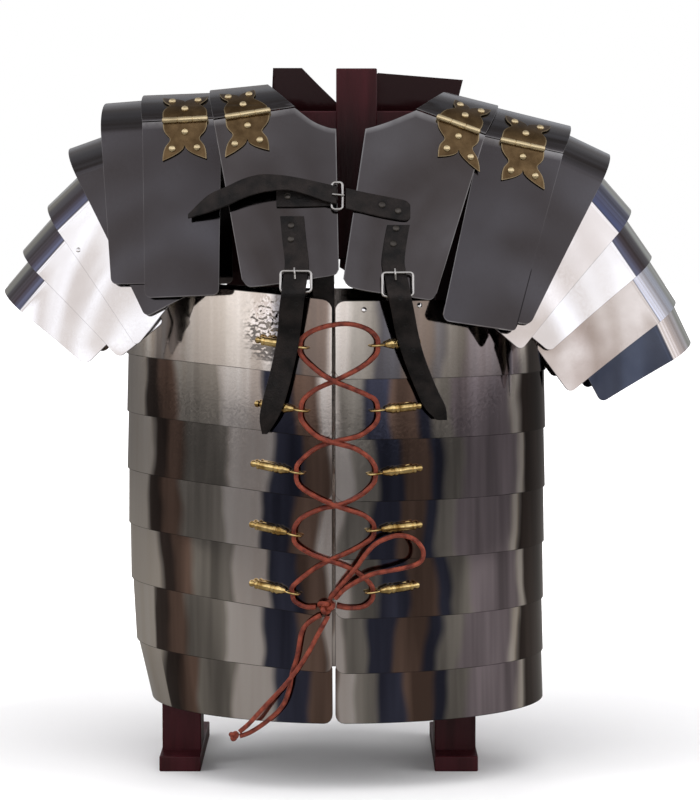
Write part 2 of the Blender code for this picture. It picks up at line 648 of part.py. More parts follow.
def hoop(number, material):
    """One hoop of the girdle, with rounded corners beside the front opening."""
    edge_high, edge_low = HOOP_EDGES[number - 1], HOOP_EDGES[number]
    top_extra = 0.0 if number == 1 else HOOP_OVERLAP
    start = opening_angle(FRONT_OPENING_X + FRONT_OPENING_HALF)
    stop = 2 * math.pi + opening_angle(FRONT_OPENING_X - FRONT_OPENING_HALF)
    corner = HOOP_CORNER / GIRDLE_SIDE
    near = np.array(CORNER_SHARES) * corner
    # Even steps of the oval's turn keep neighbouring hoops' flats side by side
    body = np.linspace(start + corner, stop - corner, 2 * HOOP_SEGMENTS + 1)[1:-1]
    angles = np.concatenate([start + near, body, stop - near[::-1]])
    away = np.minimum(angles - start, stop - angles) * GIRDLE_SIDE
    height = edge_high["height"] - edge_low["height"] + top_extra
    inset = corner_inset(away, HOOP_CORNER) / height
    low = hoop_point(angles, inset, edge_low, edge_high, top_extra)
    high = hoop_point(angles, 1 - inset, edge_low, edge_high, top_extra)
    rows = np.vstack([low, high])
    inside = (0, 0, rows[:, 2].mean())
    shell = wall(rows, grid_faces(2, len(angles)), STEEL, inside)
    return add_object(f"girdle_hoop_{number}", *shell, material)


def build_armour_plates():
    dark = finish("dark_steel", DARK_STEEL, 0.25, 1)
    bright = finish("bright_steel", BRIGHT_STEEL, 0.18, 1)
    for number in range(1, len(HOOP_EDGES)):
        hoop(number, bright)
    for side in ("left", "right"):
        for row in STRIPS[side]:
            one_piece_strip(side, row, dark if row["strip"] == 3 else bright)
        top_strip(side, HINGED[side][0], dark, with_back=False)
        top_strip(side, HINGED[side][1], dark, with_back=True)
        second_plate(side, HINGED[side][1], dark)
        breast_plate(side, dark)
        back_plate(side, dark)


def hinge_ends(row, back):
    """The two ends of a strip's hinge line, in front or behind."""
    if back and "back_hinge_in" in row:
        return np.array((row["back_hinge_in"], row["hinge"][1]), float)
    return np.array(row["hinge"], float)


def arch_turns(row, back, middle, distances):
    """The turn of the arch at each distance up it from the hinge, by adding up short chords."""
    crest = between(row["crest"], middle)
    shoulder = between(hinge_ends(row, back), middle)
    angles = np.radians(np.linspace(90, 10, 161))
    points = np.vstack(arch_rows(crest[None], shoulder[None], row["strip"], angles))
    steps = np.linalg.norm(np.diff(points, axis=0), axis=1)
    return np.interp(distances, np.concatenate([[0], np.cumsum(steps)]), angles)


def leaf_points(row, back, middle, up):
    """The places of a leaf's outline and rows on its plate, row by row from the pin."""
    line = hinge_ends(row, back)
    crest = np.array(row["crest"], float)
    width = np.linalg.norm(line[1] - line[0])
    rows = list(LEAF_ROWS) + [LEAF_TIP]
    facing = 1 if back else -1
    points = []
    for leaf_row in rows:
        across = np.array([-1, 0, 1]) * leaf_row["half"] / width
        shares = middle + across
        base = between(line, shares)
        if up:
            turn = arch_turns(row, back, middle, leaf_row["away"])
            top = between(crest, shares)
            flat = top + (base - top) * (1 - math.cos(turn))
            depth = chest_layer(flat[:, 0], flat[:, 1], row["strip"]) * math.sin(turn)
        else:
            flat = base - np.array([0, 1]) * leaf_row["away"] * LEAF_SLOPE
            depth = chest_layer(flat[:, 0], flat[:, 1], row["strip"])
        points.append(np.stack([flat[:, 0], facing * depth, flat[:, 1]], axis=1))
    return points


def hinge(side, strip, back, middle, material):
    """A butterfly hinge: two leaves on their plates, joined to a barrel on the hinge line."""
    row = HINGED[side][strip - 1]
    place = "back" if back else "front"
    name = f"hinge_{side}_{strip}_{place}"
    leaves = []
    for up in (False, True):
        rows = leaf_points(row, back, middle, up)
        points = np.vstack(rows[:-1] + [rows[-1][[0, 2]]])
        faces = grid_faces(len(rows) - 1, 3)
        last = 3 * (len(rows) - 2)
        tip = last + 3
        faces += [(last, last + 1, tip), (last + 1, last + 2, tip + 1)]
        inside = (points[:, 0].mean(), 0, points[:, 2].mean() - 40)
        body = wall(points, faces, LEAF_THICK, inside, outset=HINGE_GAP + LEAF_THICK)
        leaves.append(add_object(f"{name}_leaf_{up}", *body, material))
        if not up:
            pin = points[:3]
    facing = 1 if back else -1
    lift = np.array([0, facing * (HINGE_GAP + PIN_RADIUS - PIN_SINK), 0])
    direction = (pin[2] - pin[0]) / np.linalg.norm(pin[2] - pin[0])
    centre = pin[1] + lift + np.array([0, 0, PIN_RISE])
    ends = np.array([centre - direction * PIN_HALF, centre + direction * PIN_HALF])
    barrel = add_object(name, *rod(ends, (PIN_RADIUS, PIN_RADIUS), 8), material)
    return join(barrel, leaves)


def rod(points, radii, sides):
    """A closed round rod through points, with a radius at each, and flat ends."""
    points = np.asarray(points, float)
    ahead = np.gradient(points, axis=0)
    ahead /= np.linalg.norm(ahead, axis=1)[:, None]
    helper = np.array([0, 0, 1.0]) if abs(ahead[0][2]) < 0.9 else np.array([0, 1.0, 0])
    across = np.cross(ahead, helper)
    across /= np.linalg.norm(across, axis=1)[:, None]
    other = np.cross(ahead, across)
    turn = np.linspace(0, 2 * math.pi, sides, endpoint=False) + ROD_TURN
    ring = across[:, None] * np.cos(turn)[None, :, None] + other[:, None] * np.sin(turn)[None, :, None]
    body = points[:, None] + ring * np.asarray(radii, float)[:, None, None]
    count = len(points)
    faces = []
    for r in range(count - 1):
        for c in range(sides):
            n = (c + 1) % sides
            faces.append((r * sides + c, r * sides + n, (r + 1) * sides + n, (r + 1) * sides + c))
    faces.append(tuple(reversed(range(sides))))
    faces.append(tuple(range((count - 1) * sides, count * sides)))
    return body.reshape(-1, 3), faces


def loop_tube(points, radius, sides):
    """A closed ring of tube round a closed loop of points that all lie near one plane."""
    points = np.asarray(points, float)
    ahead = np.roll(points, -1, axis=0) - np.roll(points, 1, axis=0)
    ahead /= np.linalg.norm(ahead, axis=1)[:, None]
    middle = points.mean(axis=0)
    flat = np.cross(points[0] - middle, points[len(points) // 4] - middle)
    flat /= np.linalg.norm(flat)
    outwards = np.cross(ahead, flat)
    outwards /= np.linalg.norm(outwards, axis=1)[:, None]
    turn = np.linspace(0, 2 * math.pi, sides, endpoint=False)
    ring = outwards[:, None] * np.cos(turn)[None, :, None] + flat * np.sin(turn)[None, :, None]
    body = points[:, None] + ring * radius
    count = len(points)
    faces = []
    for r in range(count):
        for c in range(sides):
            a, b = r * sides, ((r + 1) % count) * sides
            n = (c + 1) % sides
            faces.append((a + c, b + c, b + n, a + n))
    return body.reshape(-1, 3), faces


def outward(item):
    """Turns a closed mesh's faces outwards."""
    mesh = item.data
    work = bmesh.new()
    work.from_mesh(mesh)
    bmesh.ops.recalc_face_normals(work, faces=work.faces)
    work.to_mesh(mesh)
    work.free()
    return item


def hoop_front(x, z, number):
    """How far a hoop's outer face stands forward at x and z."""
    low, high = HOOP_EDGES[number], HOOP_EDGES[number - 1]
    extra = 0.0 if number == 1 else HOOP_OVERLAP
    lean = HOOP_LEAN * (z - low["height"]) / (high["height"] - low["height"] + extra)
    return girdle_front(x, -lean)


def fitting(side, number, material):
    """A turned brass fitting with a ring for the lace, on a foot riveted to its hoop."""
    row = FITTINGS[side][number - 1]
    ends = []
    for place in (row["knob"], row["ring"]):
        front = float(hoop_front(place[0], place[1], number))
        ends.append(np.array([place[0], -(front + FITTING_LIFT), place[1]]))
    knob, ring = ends
    direction = (ring - knob) / np.linalg.norm(ring - knob)
    length = np.linalg.norm(ring - knob)
    neck = length - RING_RADIUS
    along = [p["along"] * neck / FITTING_PROFILE[-1]["along"] for p in FITTING_PROFILE]
    radii = [p["radius"] for p in FITTING_PROFILE]
    points = [knob + direction * a for a in along]
    base = add_object(f"tie_fitting_{side}_{number}", *rod(points, radii, FITTING_SIDES), material)
    turn = np.linspace(0, 2 * math.pi, RING_POINTS, endpoint=False) + RING_TURN
    side_way = np.cross(direction, (0, 0, 1.0))
    side_way /= np.linalg.norm(side_way)
    loop = ring + RING_RADIUS * (np.cos(turn)[:, None] * direction + np.sin(turn)[:, None] * side_way)
    eye = add_object("eye", *loop_tube(loop, RING_WIRE, 6), material)
    start = knob + direction * FOOT_ALONG
    seat = float(hoop_front(start[0], start[2], number)) + SEAM
    foot_end = np.array([start[0], -seat, start[2]])
    foot = add_object("foot", *rod((start, foot_end), (FOOT_RADIUS, FOOT_RADIUS), 6), material)
    for item in (base, eye, foot):
        outward(item)
    return join(base, [eye, foot])


def strap_place(row, x, z):
    """A place on a strap: in front of the breast plate, behind the top hoop's face, or set free."""
    if "front" in row:
        return np.array([x, -row["front"], z])
    if "behind" in row:
        return np.array([x, -(float(girdle_front(x)) - row["behind"]), z])
    front = float(chest_layer(np.array([float(x)]), np.array([float(z)]), 1)[0])
    return np.array([x, -(front + row["lift"]), z])


def strap(name, rows, wide, material):
    """A flat strap along its rows. wide is (1, 0) where its width lies along X, or (0, 1) along Z."""
    first, second = [], []
    for row in rows:
        dx, dz = wide[0] * row["half"], wide[1] * row["half"]
        first.append(strap_place(row, row["x"] - dx, row["z"] - dz))
        second.append(strap_place(row, row["x"] + dx, row["z"] + dz))
    first, second = np.array(first), np.array(second)
    ahead = np.gradient((first + second) / 2, axis=0)
    up = np.cross(ahead, second - first)
    up *= STRAP_THICK / 2 / np.linalg.norm(up, axis=1)[:, None]
    corners = np.stack([first - up, second - up, second + up, first + up], axis=1)
    count = len(rows)
    faces = []
    for r in range(count - 1):
        for c in range(4):
            n = (c + 1) % 4
            faces.append((r * 4 + c, r * 4 + n, (r + 1) * 4 + n, (r + 1) * 4 + c))
    faces.append((3, 2, 1, 0))
    faces.append(tuple(range((count - 1) * 4, count * 4)))
    return outward(add_object(name, corners.reshape(-1, 3), faces, material, smooth=False))


def buckle(name, row, material):
    """A wire frame with rounded corners, leaning with the plate behind it."""
    corner = 3.0
    points = []
    turns = ((1, 1, 0), (-1, 1, 90), (-1, -1, 180), (1, -1, 270))
    for sx, sz, start in turns:
        for step in (0, 45, 90):
            angle = math.radians(start + step)
            x = row["x"] + sx * (row["wide"] - corner) + corner * math.cos(angle)
            z = row["z"] + sz * (row["high"] - corner) + corner * math.sin(angle)
            share = (z - row["z"]) / row["high"]
            lift = (row["top"] + row["low"]) / 2 + share * (row["top"] - row["low"]) / 2
            points.append(strap_place({"lift": lift}, x, z))
    return outward(add_object(name, *loop_tube(points, WIRE, 6), material))


def smooth_route(points, spacing):
    """Points a set distance apart on a Catmull-Rom curve through the route's points."""
    padded = np.vstack([2 * points[0] - points[1], points, 2 * points[-1] - points[-2]])
    share = np.linspace(0, 1, 12, endpoint=False)[:, None]
    parts = []
    for a, b, c, d in zip(padded, padded[1:], padded[2:], padded[3:]):
        parts.append(0.5 * (2 * b + (c - a) * share + (2 * a - 5 * b + 4 * c - d) * share**2
                            + (3 * b - a - 3 * c + d) * share**3))
    fine = np.vstack(parts + [points[-1:]])
    along = np.concatenate([[0], np.cumsum(np.linalg.norm(np.diff(fine, axis=0), axis=1))])
    count = max(2, round(along[-1] / spacing) + 1)
    at = np.linspace(0, along[-1], count)
    return np.stack([np.interp(at, along, fine[:, k]) for k in range(3)], axis=1)


def lace(name, route, spacing, material):
    """A round cord along a route, as a curve with a bevel and filled ends."""
    points = np.array([(x, -front, z) for x, z, front in route], float)
    if spacing:
        points = smooth_route(points, spacing)
    points = (points + SHIFT) * MM
    data = bpy.data.curves.new(name, "CURVE")
    data.dimensions = "3D"
    data.bevel_depth = LACE_RADIUS * MM
    data.bevel_resolution = 2
    data.use_fill_caps = True
    spline = data.splines.new("POLY")
    spline.points.add(len(points) - 1)
    for target, place in zip(spline.points, points):
        target.co = (*place, 1)
    data.materials.append(material)
    item = bpy.data.objects.new(name, data)
    bpy.context.scene.collection.objects.link(item)
    return item


def knot(name, row, material):
    """A knot's rounded lump: a ball with its own size along X, Y and Z."""
    work = bmesh.new()
    bmesh.ops.create_icosphere(work, subdivisions=2, radius=1)
    x, z, front = row["place"]
    wide, high, deep = row["size"]
    for point in work.verts:
        place = (x + point.co.x * wide, -front + point.co.y * deep, z + point.co.z * high)
        point.co = (np.array(place) + SHIFT) * MM
    mesh = bpy.data.meshes.new(name)
    work.to_mesh(mesh)
    work.free()
    mesh.shade_smooth()
    mesh.materials.append(material)
    item = bpy.data.objects.new(name, mesh)
    bpy.context.scene.collection.objects.link(item)
    return item


def box(name, low, high, material):
    """A plain board between two corners, in mm."""
    corners = [(x, y, z) for z in (low[2], high[2]) for y in (low[1], high[1]) for x in (low[0], high[0])]
    faces = [(0, 2, 3, 1), (4, 5, 7, 6), (0, 1, 5, 4), (1, 3, 7, 5), (3, 2, 6, 7), (2, 0, 4, 6)]
    return add_object(name, corners, faces, material, smooth=False)


def stand(material):
    """The stand: legs on runners, the shoulder board and the neck post, joined into one."""
    count = len(BOARD_OUTLINE)
    points = [(x, y, z) for y in (-BOARD_HALF_DEPTH, BOARD_HALF_DEPTH) for x, z in BOARD_OUTLINE]
    faces = [tuple(range(count)), tuple(reversed(range(count, 2 * count)))]
    for c in range(count):
        n = (c + 1) % count
        faces.append((n, c, c + count, n + count))
    board = outward(add_object("stand", points, faces, material, smooth=False))
    pieces = []
    for left, right in (LEG_LEFT, LEG_RIGHT):
        deep = LEG_HALF_DEPTH
        pieces.append(box("leg", (left, -deep, LEG_FOOT), (right, deep, LEG_TOP), material))
        low, high = (left - RUNNER_SIDE, -RUNNER_FRONT, 0), (right + RUNNER_SIDE, RUNNER_BACK, RUNNER_HEIGHT)
        pieces.append(box("runner", low, high, material))
    deep = BOARD_HALF_DEPTH + POST_MORE_DEPTH
    low, high = (POST["left"], -deep, POST["foot"]), (POST["right"], deep, POST["top"])
    pieces.append(box("post", low, high, material))
    return join(board, pieces)


def build_fastenings():
    brass = finish("brass", BRASS, 0.35, 1)
    nickel = finish("nickel", NICKEL, 0.2, 1)
    leather = finish("black_leather", LEATHER, 0.5, 0)
    red_leather = finish("red_leather", LACE, 0.55, 0)
    for side in ("left", "right"):
        for number in range(1, len(FITTINGS[side]) + 1):
            fitting(side, number, brass)
        for strip, middle in HINGE_MIDDLES[side].items():
            hinge(side, strip, False, middle, brass)
        hinge(side, 1, True, 0.5, brass)
        strap(f"hanging_strap_{side}", HANGING[side], (1, 0), leather)
        strap(f"buckle_tab_{side}", TABS[side], (1, 0), leather)
    strap("cross_strap_left", CROSS_LEFT, (0, 1), leather)
    strap("cross_strap_right", CROSS_RIGHT, (0, 1), leather)
    strap("inner_tab", INNER_TAB, (1, 0), leather)
    for place, row in BUCKLES.items():
        buckle(f"buckle_{place}", row, nickel)
    lace("lace_crossing", LACE_ROUTE, None, red_leather)
    lace("lace_bow", BOW_ROUTE, LACE_STEP, red_leather)
    lace("lace_tail_a", TAIL_A_ROUTE, LACE_STEP, red_leather)
    lace("lace_tail_b", TAIL_B_ROUTE, LACE_STEP, red_leather)
    knot("lace_knot", KNOT, red_leather)
    knot("lace_end_knot", END_KNOT, red_leather)


clear_scene()
build_armour_plates()
build_fastenings()
stand(finish("painted_wood", WOOD, 0.35, 0))
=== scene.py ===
# %% [markdown]
# # Segmented plate armour on its stand
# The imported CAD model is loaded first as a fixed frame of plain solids. Each solid is
# then dressed with a finer piece, worked out with numpy in the same places, and given a
# finish that is built from shader nodes.

# %% Load the frame
import math

import bpy
import numpy as np
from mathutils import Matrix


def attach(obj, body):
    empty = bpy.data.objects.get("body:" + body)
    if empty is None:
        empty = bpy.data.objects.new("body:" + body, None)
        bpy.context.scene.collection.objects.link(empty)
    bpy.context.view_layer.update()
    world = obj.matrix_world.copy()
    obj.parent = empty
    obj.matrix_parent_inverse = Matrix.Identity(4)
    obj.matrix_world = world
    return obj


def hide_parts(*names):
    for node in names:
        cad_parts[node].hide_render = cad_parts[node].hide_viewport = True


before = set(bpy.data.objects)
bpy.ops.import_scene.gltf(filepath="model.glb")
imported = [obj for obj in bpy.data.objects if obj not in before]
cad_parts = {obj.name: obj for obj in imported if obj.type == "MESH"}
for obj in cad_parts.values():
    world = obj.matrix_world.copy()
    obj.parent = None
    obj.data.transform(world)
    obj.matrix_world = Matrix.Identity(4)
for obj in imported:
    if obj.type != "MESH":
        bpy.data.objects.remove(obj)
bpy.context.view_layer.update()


def put_in_scene(name, data):
    """An object that carries the data, at the origin of the scene."""
    item = bpy.data.objects.new(name, data)
    bpy.context.scene.collection.objects.link(item)
    return item


# %% [markdown]
# ## The camera
# The armour was photographed from a few paces away, a little above its waist and tilted
# down a few degrees, with a long lens. A long lens keeps the hoops almost parallel.

# %% Camera
camera_data = bpy.data.cameras.new("camera")
camera_data.sensor_fit = "VERTICAL"
camera_data.sensor_height = 36.0
camera_data.lens = 117.0
camera = put_in_scene("camera", camera_data)
camera.location = (0.0019, -2.5334, 0.570)
camera.rotation_euler = (math.radians(85.2), 0, 0)
bpy.context.scene.camera = camera
print("camera at", tuple(camera.location))

# %% [markdown]
# ## Places and units
# The tables below are in millimetres, measured from the front opening of the girdle.
# One shift and one scale take every finished piece to the frame's metres, so a piece's
# object can stay at the origin, unturned.

# %% Units and smooth lines
MM = 0.001
SHIFT = np.array([-11.0, 3.6, 0.0])


def to_metres(points):
    """The point plus the shift, times a thousandth."""
    return (np.asarray(points, float) + SHIFT) * MM


def smooth_line(points, steps):
    """A Catmull-Rom curve, with a number of steps between each two points.

    Between b and c, with neighbours a and d, and t from 0 to 1, it is half of
    2b + (c - a) t + (2a - 5b + 4c - d) t^2 + (3b - a - 3c + d) t^3.
    """
    points = np.asarray(points, float)
    full = np.vstack([2 * points[0] - points[1], points, 2 * points[-1] - points[-2]])
    a, b, c, d = full[:-3, None], full[1:-2, None], full[2:-1, None], full[3:, None]
    t = np.linspace(0, 1, steps, endpoint=False)[None, :, None]
    bend = (2 * a - 5 * b + 4 * c - d) * t**2
    curve = 0.5 * (2 * b + (c - a) * t + bend + (3 * b - a - 3 * c + d) * t**3)
    return np.vstack([curve.reshape(-1, points.shape[1]), points[-1:]])


# %% [markdown]
# ## The lace
# One round leather lace closes the girdle: it crosses from ring to ring, is tied in a
# bow with one loop, and its two ends are knotted together. Each stretch is a curve with
# a round bevel, so that its length can be measured along its own line.

# %% Lace routes: x, height and distance in front of the body's middle
LACE_RADIUS = 2.2
CROSSING = (
    (-18.6, 177, 151), (-29, 177, 149), (-38.6, 182.5, 149), (-40.5, 190, 148.2),
    (-39.4, 197, 149), (-21, 212, 148), (-4, 221, 148), (13, 228.5, 148), (28, 237, 148.5),
    (34.4, 243, 149.2), (35.1, 248.6, 148.8), (34.3, 255, 149.5), (26, 262.5, 151.5), (11, 268, 153),
    (-1, 272, 153), (-18, 279.5, 151), (-32, 288, 149), (-36.5, 295, 149.2),
    (-36.5, 302.5, 148.7), (-34.6, 311, 149.2), (-18, 325, 148), (0, 331, 148), (21, 336, 148.5),
    (34, 345, 149), (38.5, 352, 149.1), (38.7, 360, 148.4), (36.7, 369, 149.4), (28, 374.5, 151),
    (13, 381, 153), (-1, 386.5, 153), (-14, 394, 152), (-27, 405, 150.5), (-32.6, 412, 149.6),
    (-33, 418.5, 149.1), (-30.8, 427, 149.9), (-20, 434, 150), (-4, 438.5, 149), (13, 439.5, 149),
    (29, 435, 149.3), (37.4, 427.5, 149), (38.7, 420, 148.3), (36.7, 411, 148.7), (24, 400, 148),
    (1, 388, 148), (-18, 379.5, 148), (-29.9, 370, 149.1), (-32.5, 360, 149.2), (-31.4, 350, 149.7),
    (-19, 337, 151.5), (-3, 330.5, 153), (17, 325, 153), (30, 316.5, 151), (36.1, 308, 149.4),
    (36.5, 301.2, 148.7), (34.6, 292, 149.2), (22, 280.5, 148), (4, 272, 148), (-13, 268.5, 148),
    (-31, 260.5, 148.7), (-38.2, 252, 149.1), (-39, 244.5, 148.4), (-37.9, 236.5, 149.2),
    (-27, 228.5, 151), (-11, 222, 153), (7, 216, 153), (21, 208.5, 151.5), (32.2, 198, 149.6),
    (34.2, 191, 149), (33.3, 183.5, 149.3), (25, 177, 149.3), (11, 176, 150), (0.7, 178, 151),
)
BOW = (
    (-5.6, 185.2, 153.5), (0, 193, 157), (13, 208, 158.5), (20, 217, 158.8), (27, 227, 158.8),
    (38, 238, 158), (56, 244.5, 156.5), (71, 241.5, 155.5), (80, 231.5, 155), (79, 221, 155),
    (69, 215.8, 155.5), (51, 212, 156.5), (34, 209, 158), (20, 202.5, 159), (8, 195, 158.5),
    (-0.6, 185.6, 155.5),
)
TAIL_A = (
    (-14.0, 169.6, 152), (-20, 166.5, 152.5), (-28, 160, 151.5), (-32.4, 151.4, 150.3),
    (-36.2, 130, 149), (-40.8, 115, 148.8), (-43.8, 99, 148.8), (-50.5, 83, 148.8),
    (-65, 68.8, 148.8), (-80, 58.8, 148.8), (-89.8, 55.2, 148.8),
)
TAIL_B = (
    (-7.5, 168.9, 153.2), (-10.5, 163, 153.8), (-17, 151.4, 154), (-27, 132.7, 154),
    (-39, 115, 154), (-50, 101.5, 153.8), (-68.5, 81.6, 153), (-81, 67.5, 151.5),
    (-89.8, 59.6, 150),
)


def lace_stretch(name, route, steps):
    """A curve along the smooth line through the route, beveled to the lace's radius."""
    line = to_metres(smooth_line([(x, -front, z) for x, z, front in route], steps))
    data = bpy.data.curves.new(name, "CURVE")
    data.dimensions = "3D"
    data.bevel_depth = LACE_RADIUS * MM
    data.bevel_resolution = 4
    data.use_fill_caps = True
    spline = data.splines.new("POLY")
    spline.points.add(len(line) - 1)
    spline.points.foreach_set("co", np.column_stack([line, np.ones(len(line))]).ravel())
    length = float(np.linalg.norm(np.diff(line, axis=0), axis=1).sum())
    print(f"{name}: {length:.3f} m")
    return put_in_scene(name, data), length, line[0].tolist()


stretches = {
    "crossing": lace_stretch("lace_crossing_leather", CROSSING, 4),
    "bow": lace_stretch("lace_bow_leather", BOW, 6),
    "tail_a": lace_stretch("lace_tail_a_leather", TAIL_A, 6),
    "tail_b": lace_stretch("lace_tail_b_leather", TAIL_B, 6),
}

# %% [markdown]
# ## Meshes from grids
# Almost every piece is a grid of points: rows along it, columns across it. The helpers
# here turn such grids into faces, give a plate its thickness and put the result into a
# mesh. A plate also keeps a "rim" value on each point, 1 at its edge, for worn edges
# and, on the girdle, for a painted shadow line.

# %% Grid helpers
def grid_quads(rows, columns):
    """Quads a, a + 1, a + columns + 1, a + columns for each cell of the grid."""
    r, c = np.mgrid[0 : rows - 1, 0 : columns - 1]
    a = (r * columns + c).ravel()
    return np.stack([a, a + 1, a + columns + 1, a + columns], axis=1)


def ring_quads(rows, columns):
    """The same for a grid whose last column meets its first."""
    r, c = np.mgrid[0 : rows - 1, 0:columns]
    a = (r * columns + c).ravel()
    b = (r * columns + (c + 1) % columns).ravel()
    return np.stack([a, b, b + columns, a + columns], axis=1)


def tube(grid, closed=False):
    """Rings of points along a path, as one skin. An open tube has a cap at each end."""
    rows, sides = grid.shape[:2]
    if closed:
        faces = (ring_quads(rows + 1, sides) % (rows * sides)).tolist()
    else:
        faces = ring_quads(rows, sides).tolist()
        faces += [list(range(sides))[::-1], [(rows - 1) * sides + i for i in range(sides)]]
    return grid.reshape(-1, 3), faces


def facing(grid):
    """Unit normals of a grid: its step across crossed with its step along."""
    normals = np.cross(np.gradient(grid, axis=1), np.gradient(grid, axis=0))
    return normals / np.maximum(np.linalg.norm(normals, axis=2, keepdims=True), 1e-9)


def merge(parts):
    """One list of points and one of faces from several."""
    points, faces, start = [], [], 0
    for part_points, part_faces in parts:
        points.append(part_points)
        faces += [[start + i for i in face] for face in part_faces]
        start += len(part_points)
    return np.vstack(points), faces


def slab(outer, thickness, inside, normals=None):
    """A closed wall: the grid, its copy moved in along the normals, and a rim of quads."""
    if normals is None:
        normals = facing(outer)
    from_inside = outer - np.asarray(inside)
    if (from_inside * normals).sum() < 0:
        normals = -normals
    if (from_inside * facing(outer)).sum() < 0:
        outer, normals = outer[:, ::-1], normals[:, ::-1]
    rows, columns = outer.shape[:2]
    count = rows * columns
    quads = grid_quads(rows, columns)
    index = np.arange(count).reshape(rows, columns)
    loop = np.concatenate([index[0, :-1], index[:-1, -1], index[-1, :0:-1], index[:0:-1, 0]])
    ahead = np.roll(loop, -1)
    rim = np.stack([ahead, loop, loop + count, ahead + count], axis=1)
    faces = np.vstack([quads, quads[:, ::-1] + count, rim])
    inner = outer - normals * thickness
    return np.vstack([outer.reshape(-1, 3), inner.reshape(-1, 3)]), faces.tolist()


def rim_values(grid):
    """1 on the grid's edge and 0 inside it, for the outer and the inner face."""
    values = np.ones(grid.shape[:2])
    values[1:-1, 1:-1] = 0
    return np.tile(values.ravel(), 2)


def edge_rows(count, both=False):
    """Even shares from 0 to 1, with one more row just inside the end, or inside both ends."""
    if both:
        return np.concatenate([[0.0], np.linspace(0.012, 0.988, count - 2), [1.0]])
    return np.concatenate([np.linspace(0, 0.994, count - 1), [1.0]])


# %% Pieces
CREASE, BEVELLED_CORNER = math.radians(38), math.radians(50)


def mesh_object(name, points, faces, finish, marks):
    """A smooth mesh in metres, with creases where it turns sharply, and marks on its points."""
    mesh = bpy.data.meshes.new(name)
    mesh.from_pydata(points.tolist(), [], [list(face) for face in faces])
    mesh.shade_smooth()
    mesh.set_sharp_from_angle(angle=CREASE)
    mesh.materials.append(finish)
    for label, values in marks.items():
        mark = mesh.attributes.new(label, "FLOAT", "POINT")
        mark.data.foreach_set("value", np.asarray(values, np.float32))
    return put_in_scene(name, mesh)


def piece(name, shape, finish, slot, stands_for, bevel=0.0, **marks):
    """A dressed piece from points in mm and faces, riding on the root body."""
    points, faces = shape
    item = mesh_object(name, to_metres(points), faces, finish, marks)
    if bevel:
        edge = item.modifiers.new("edge", "BEVEL")
        edge.width = bevel * MM
        edge.segments = 2
        edge.limit_method = "ANGLE"
        edge.angle_limit = BEVELLED_CORNER
    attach(item, "root")
    if stands_for:
        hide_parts(*stands_for)
    return item


# %% [markdown]
# ## Shader groups
# Three effects come back in many finishes, so each is a node group: clouds and streaks
# of colour, fine rubbing marks, and a tone where a piece has an edge, which is wear on
# the brass and the shoulder plates and a painted shadow line on the girdle. A group puts
# out colours, masks and heights only, and the shader stays in the material.

# %% Node helpers
def feed(tree, node, sockets):
    """Gives each socket a number or a colour, or links it to a socket or a node's first output."""
    for key, value in sockets.items():
        socket = node.inputs[key]
        if isinstance(value, bpy.types.Node):
            value = value.outputs[0]
        if isinstance(value, bpy.types.NodeSocket):
            tree.links.new(value, socket)
        else:
            socket.default_value = (*value, 1) if socket.type == "RGBA" else value


def add_node(tree, kind, sockets=None, **settings):
    """A node with its settings, and its sockets fed."""
    node = tree.nodes.new("ShaderNode" + kind)
    for key, value in settings.items():
        setattr(node, key, value)
    feed(tree, node, sockets or {})
    return node


def reckon(tree, operation, first, second, **settings):
    """One step of arithmetic on two numbers."""
    return add_node(tree, "Math", {0: first, 1: second}, operation=operation, **settings)


def mixed(tree, factor, first, second, blend="MIX"):
    """Two colours blended by a factor."""
    sockets = {"Factor": factor, 6: first, 7: second}
    return add_node(tree, "Mix", sockets, data_type="RGBA", blend_type=blend).outputs[2]


def mark_value(tree, label):
    """The value that a piece's points carry as a mark."""
    return add_node(tree, "Attribute", attribute_name=label).outputs["Fac"]


def tone_ramp(tree, place, stops):
    """Colours along the places from 0 to 1, from rows of place and colour."""
    ramp = add_node(tree, "ValToRGB", {"Fac": place})
    elements = ramp.color_ramp.elements
    while len(elements) < len(stops):
        elements.new(0.5)
    for element, (position, tone) in zip(elements, stops):
        element.position = position
    for element, (position, tone) in zip(elements, stops):
        element.color = (*tone, 1)
    return ramp


def new_group(name, inputs, outputs):
    """An empty group with named sockets, what it is given, and its end node."""
    tree = bpy.data.node_groups.new(name, "ShaderNodeTree")
    for label, kind, value in [("Vector", "Vector", (0, 0, 0)), *inputs]:
        socket = tree.interface.new_socket(label, in_out="INPUT", socket_type="NodeSocket" + kind)
        socket.default_value = value
    for label, kind in outputs:
        tree.interface.new_socket(label, in_out="OUTPUT", socket_type="NodeSocket" + kind)
    return tree, tree.nodes.new("NodeGroupInput").outputs, tree.nodes.new("NodeGroupOutput")


# %% Streaks: two colours mixed by a stretched noise
streaks, given, end = new_group(
    "streaks",
    [("Scale", "Float", 10.0), ("Sharpness", "Float", 3.0),
     ("Low", "Color", (0.2, 0.2, 0.2, 1)), ("High", "Color", (0.6, 0.6, 0.6, 1))],
    [("Color", "Color")],
)
noise = add_node(streaks, "TexNoise", {"Vector": given["Vector"], "Scale": given["Scale"], "Detail": 3.0,
                                       "Roughness": 0.55})
steep = reckon(streaks, "MULTIPLY", reckon(streaks, "SUBTRACT", noise, 0.5), given["Sharpness"])
share = reckon(streaks, "ADD", steep, 0.5, use_clamp=True)
feed(streaks, end, {"Color": mixed(streaks, share, given["Low"], given["High"])})
print("group:", streaks.name)

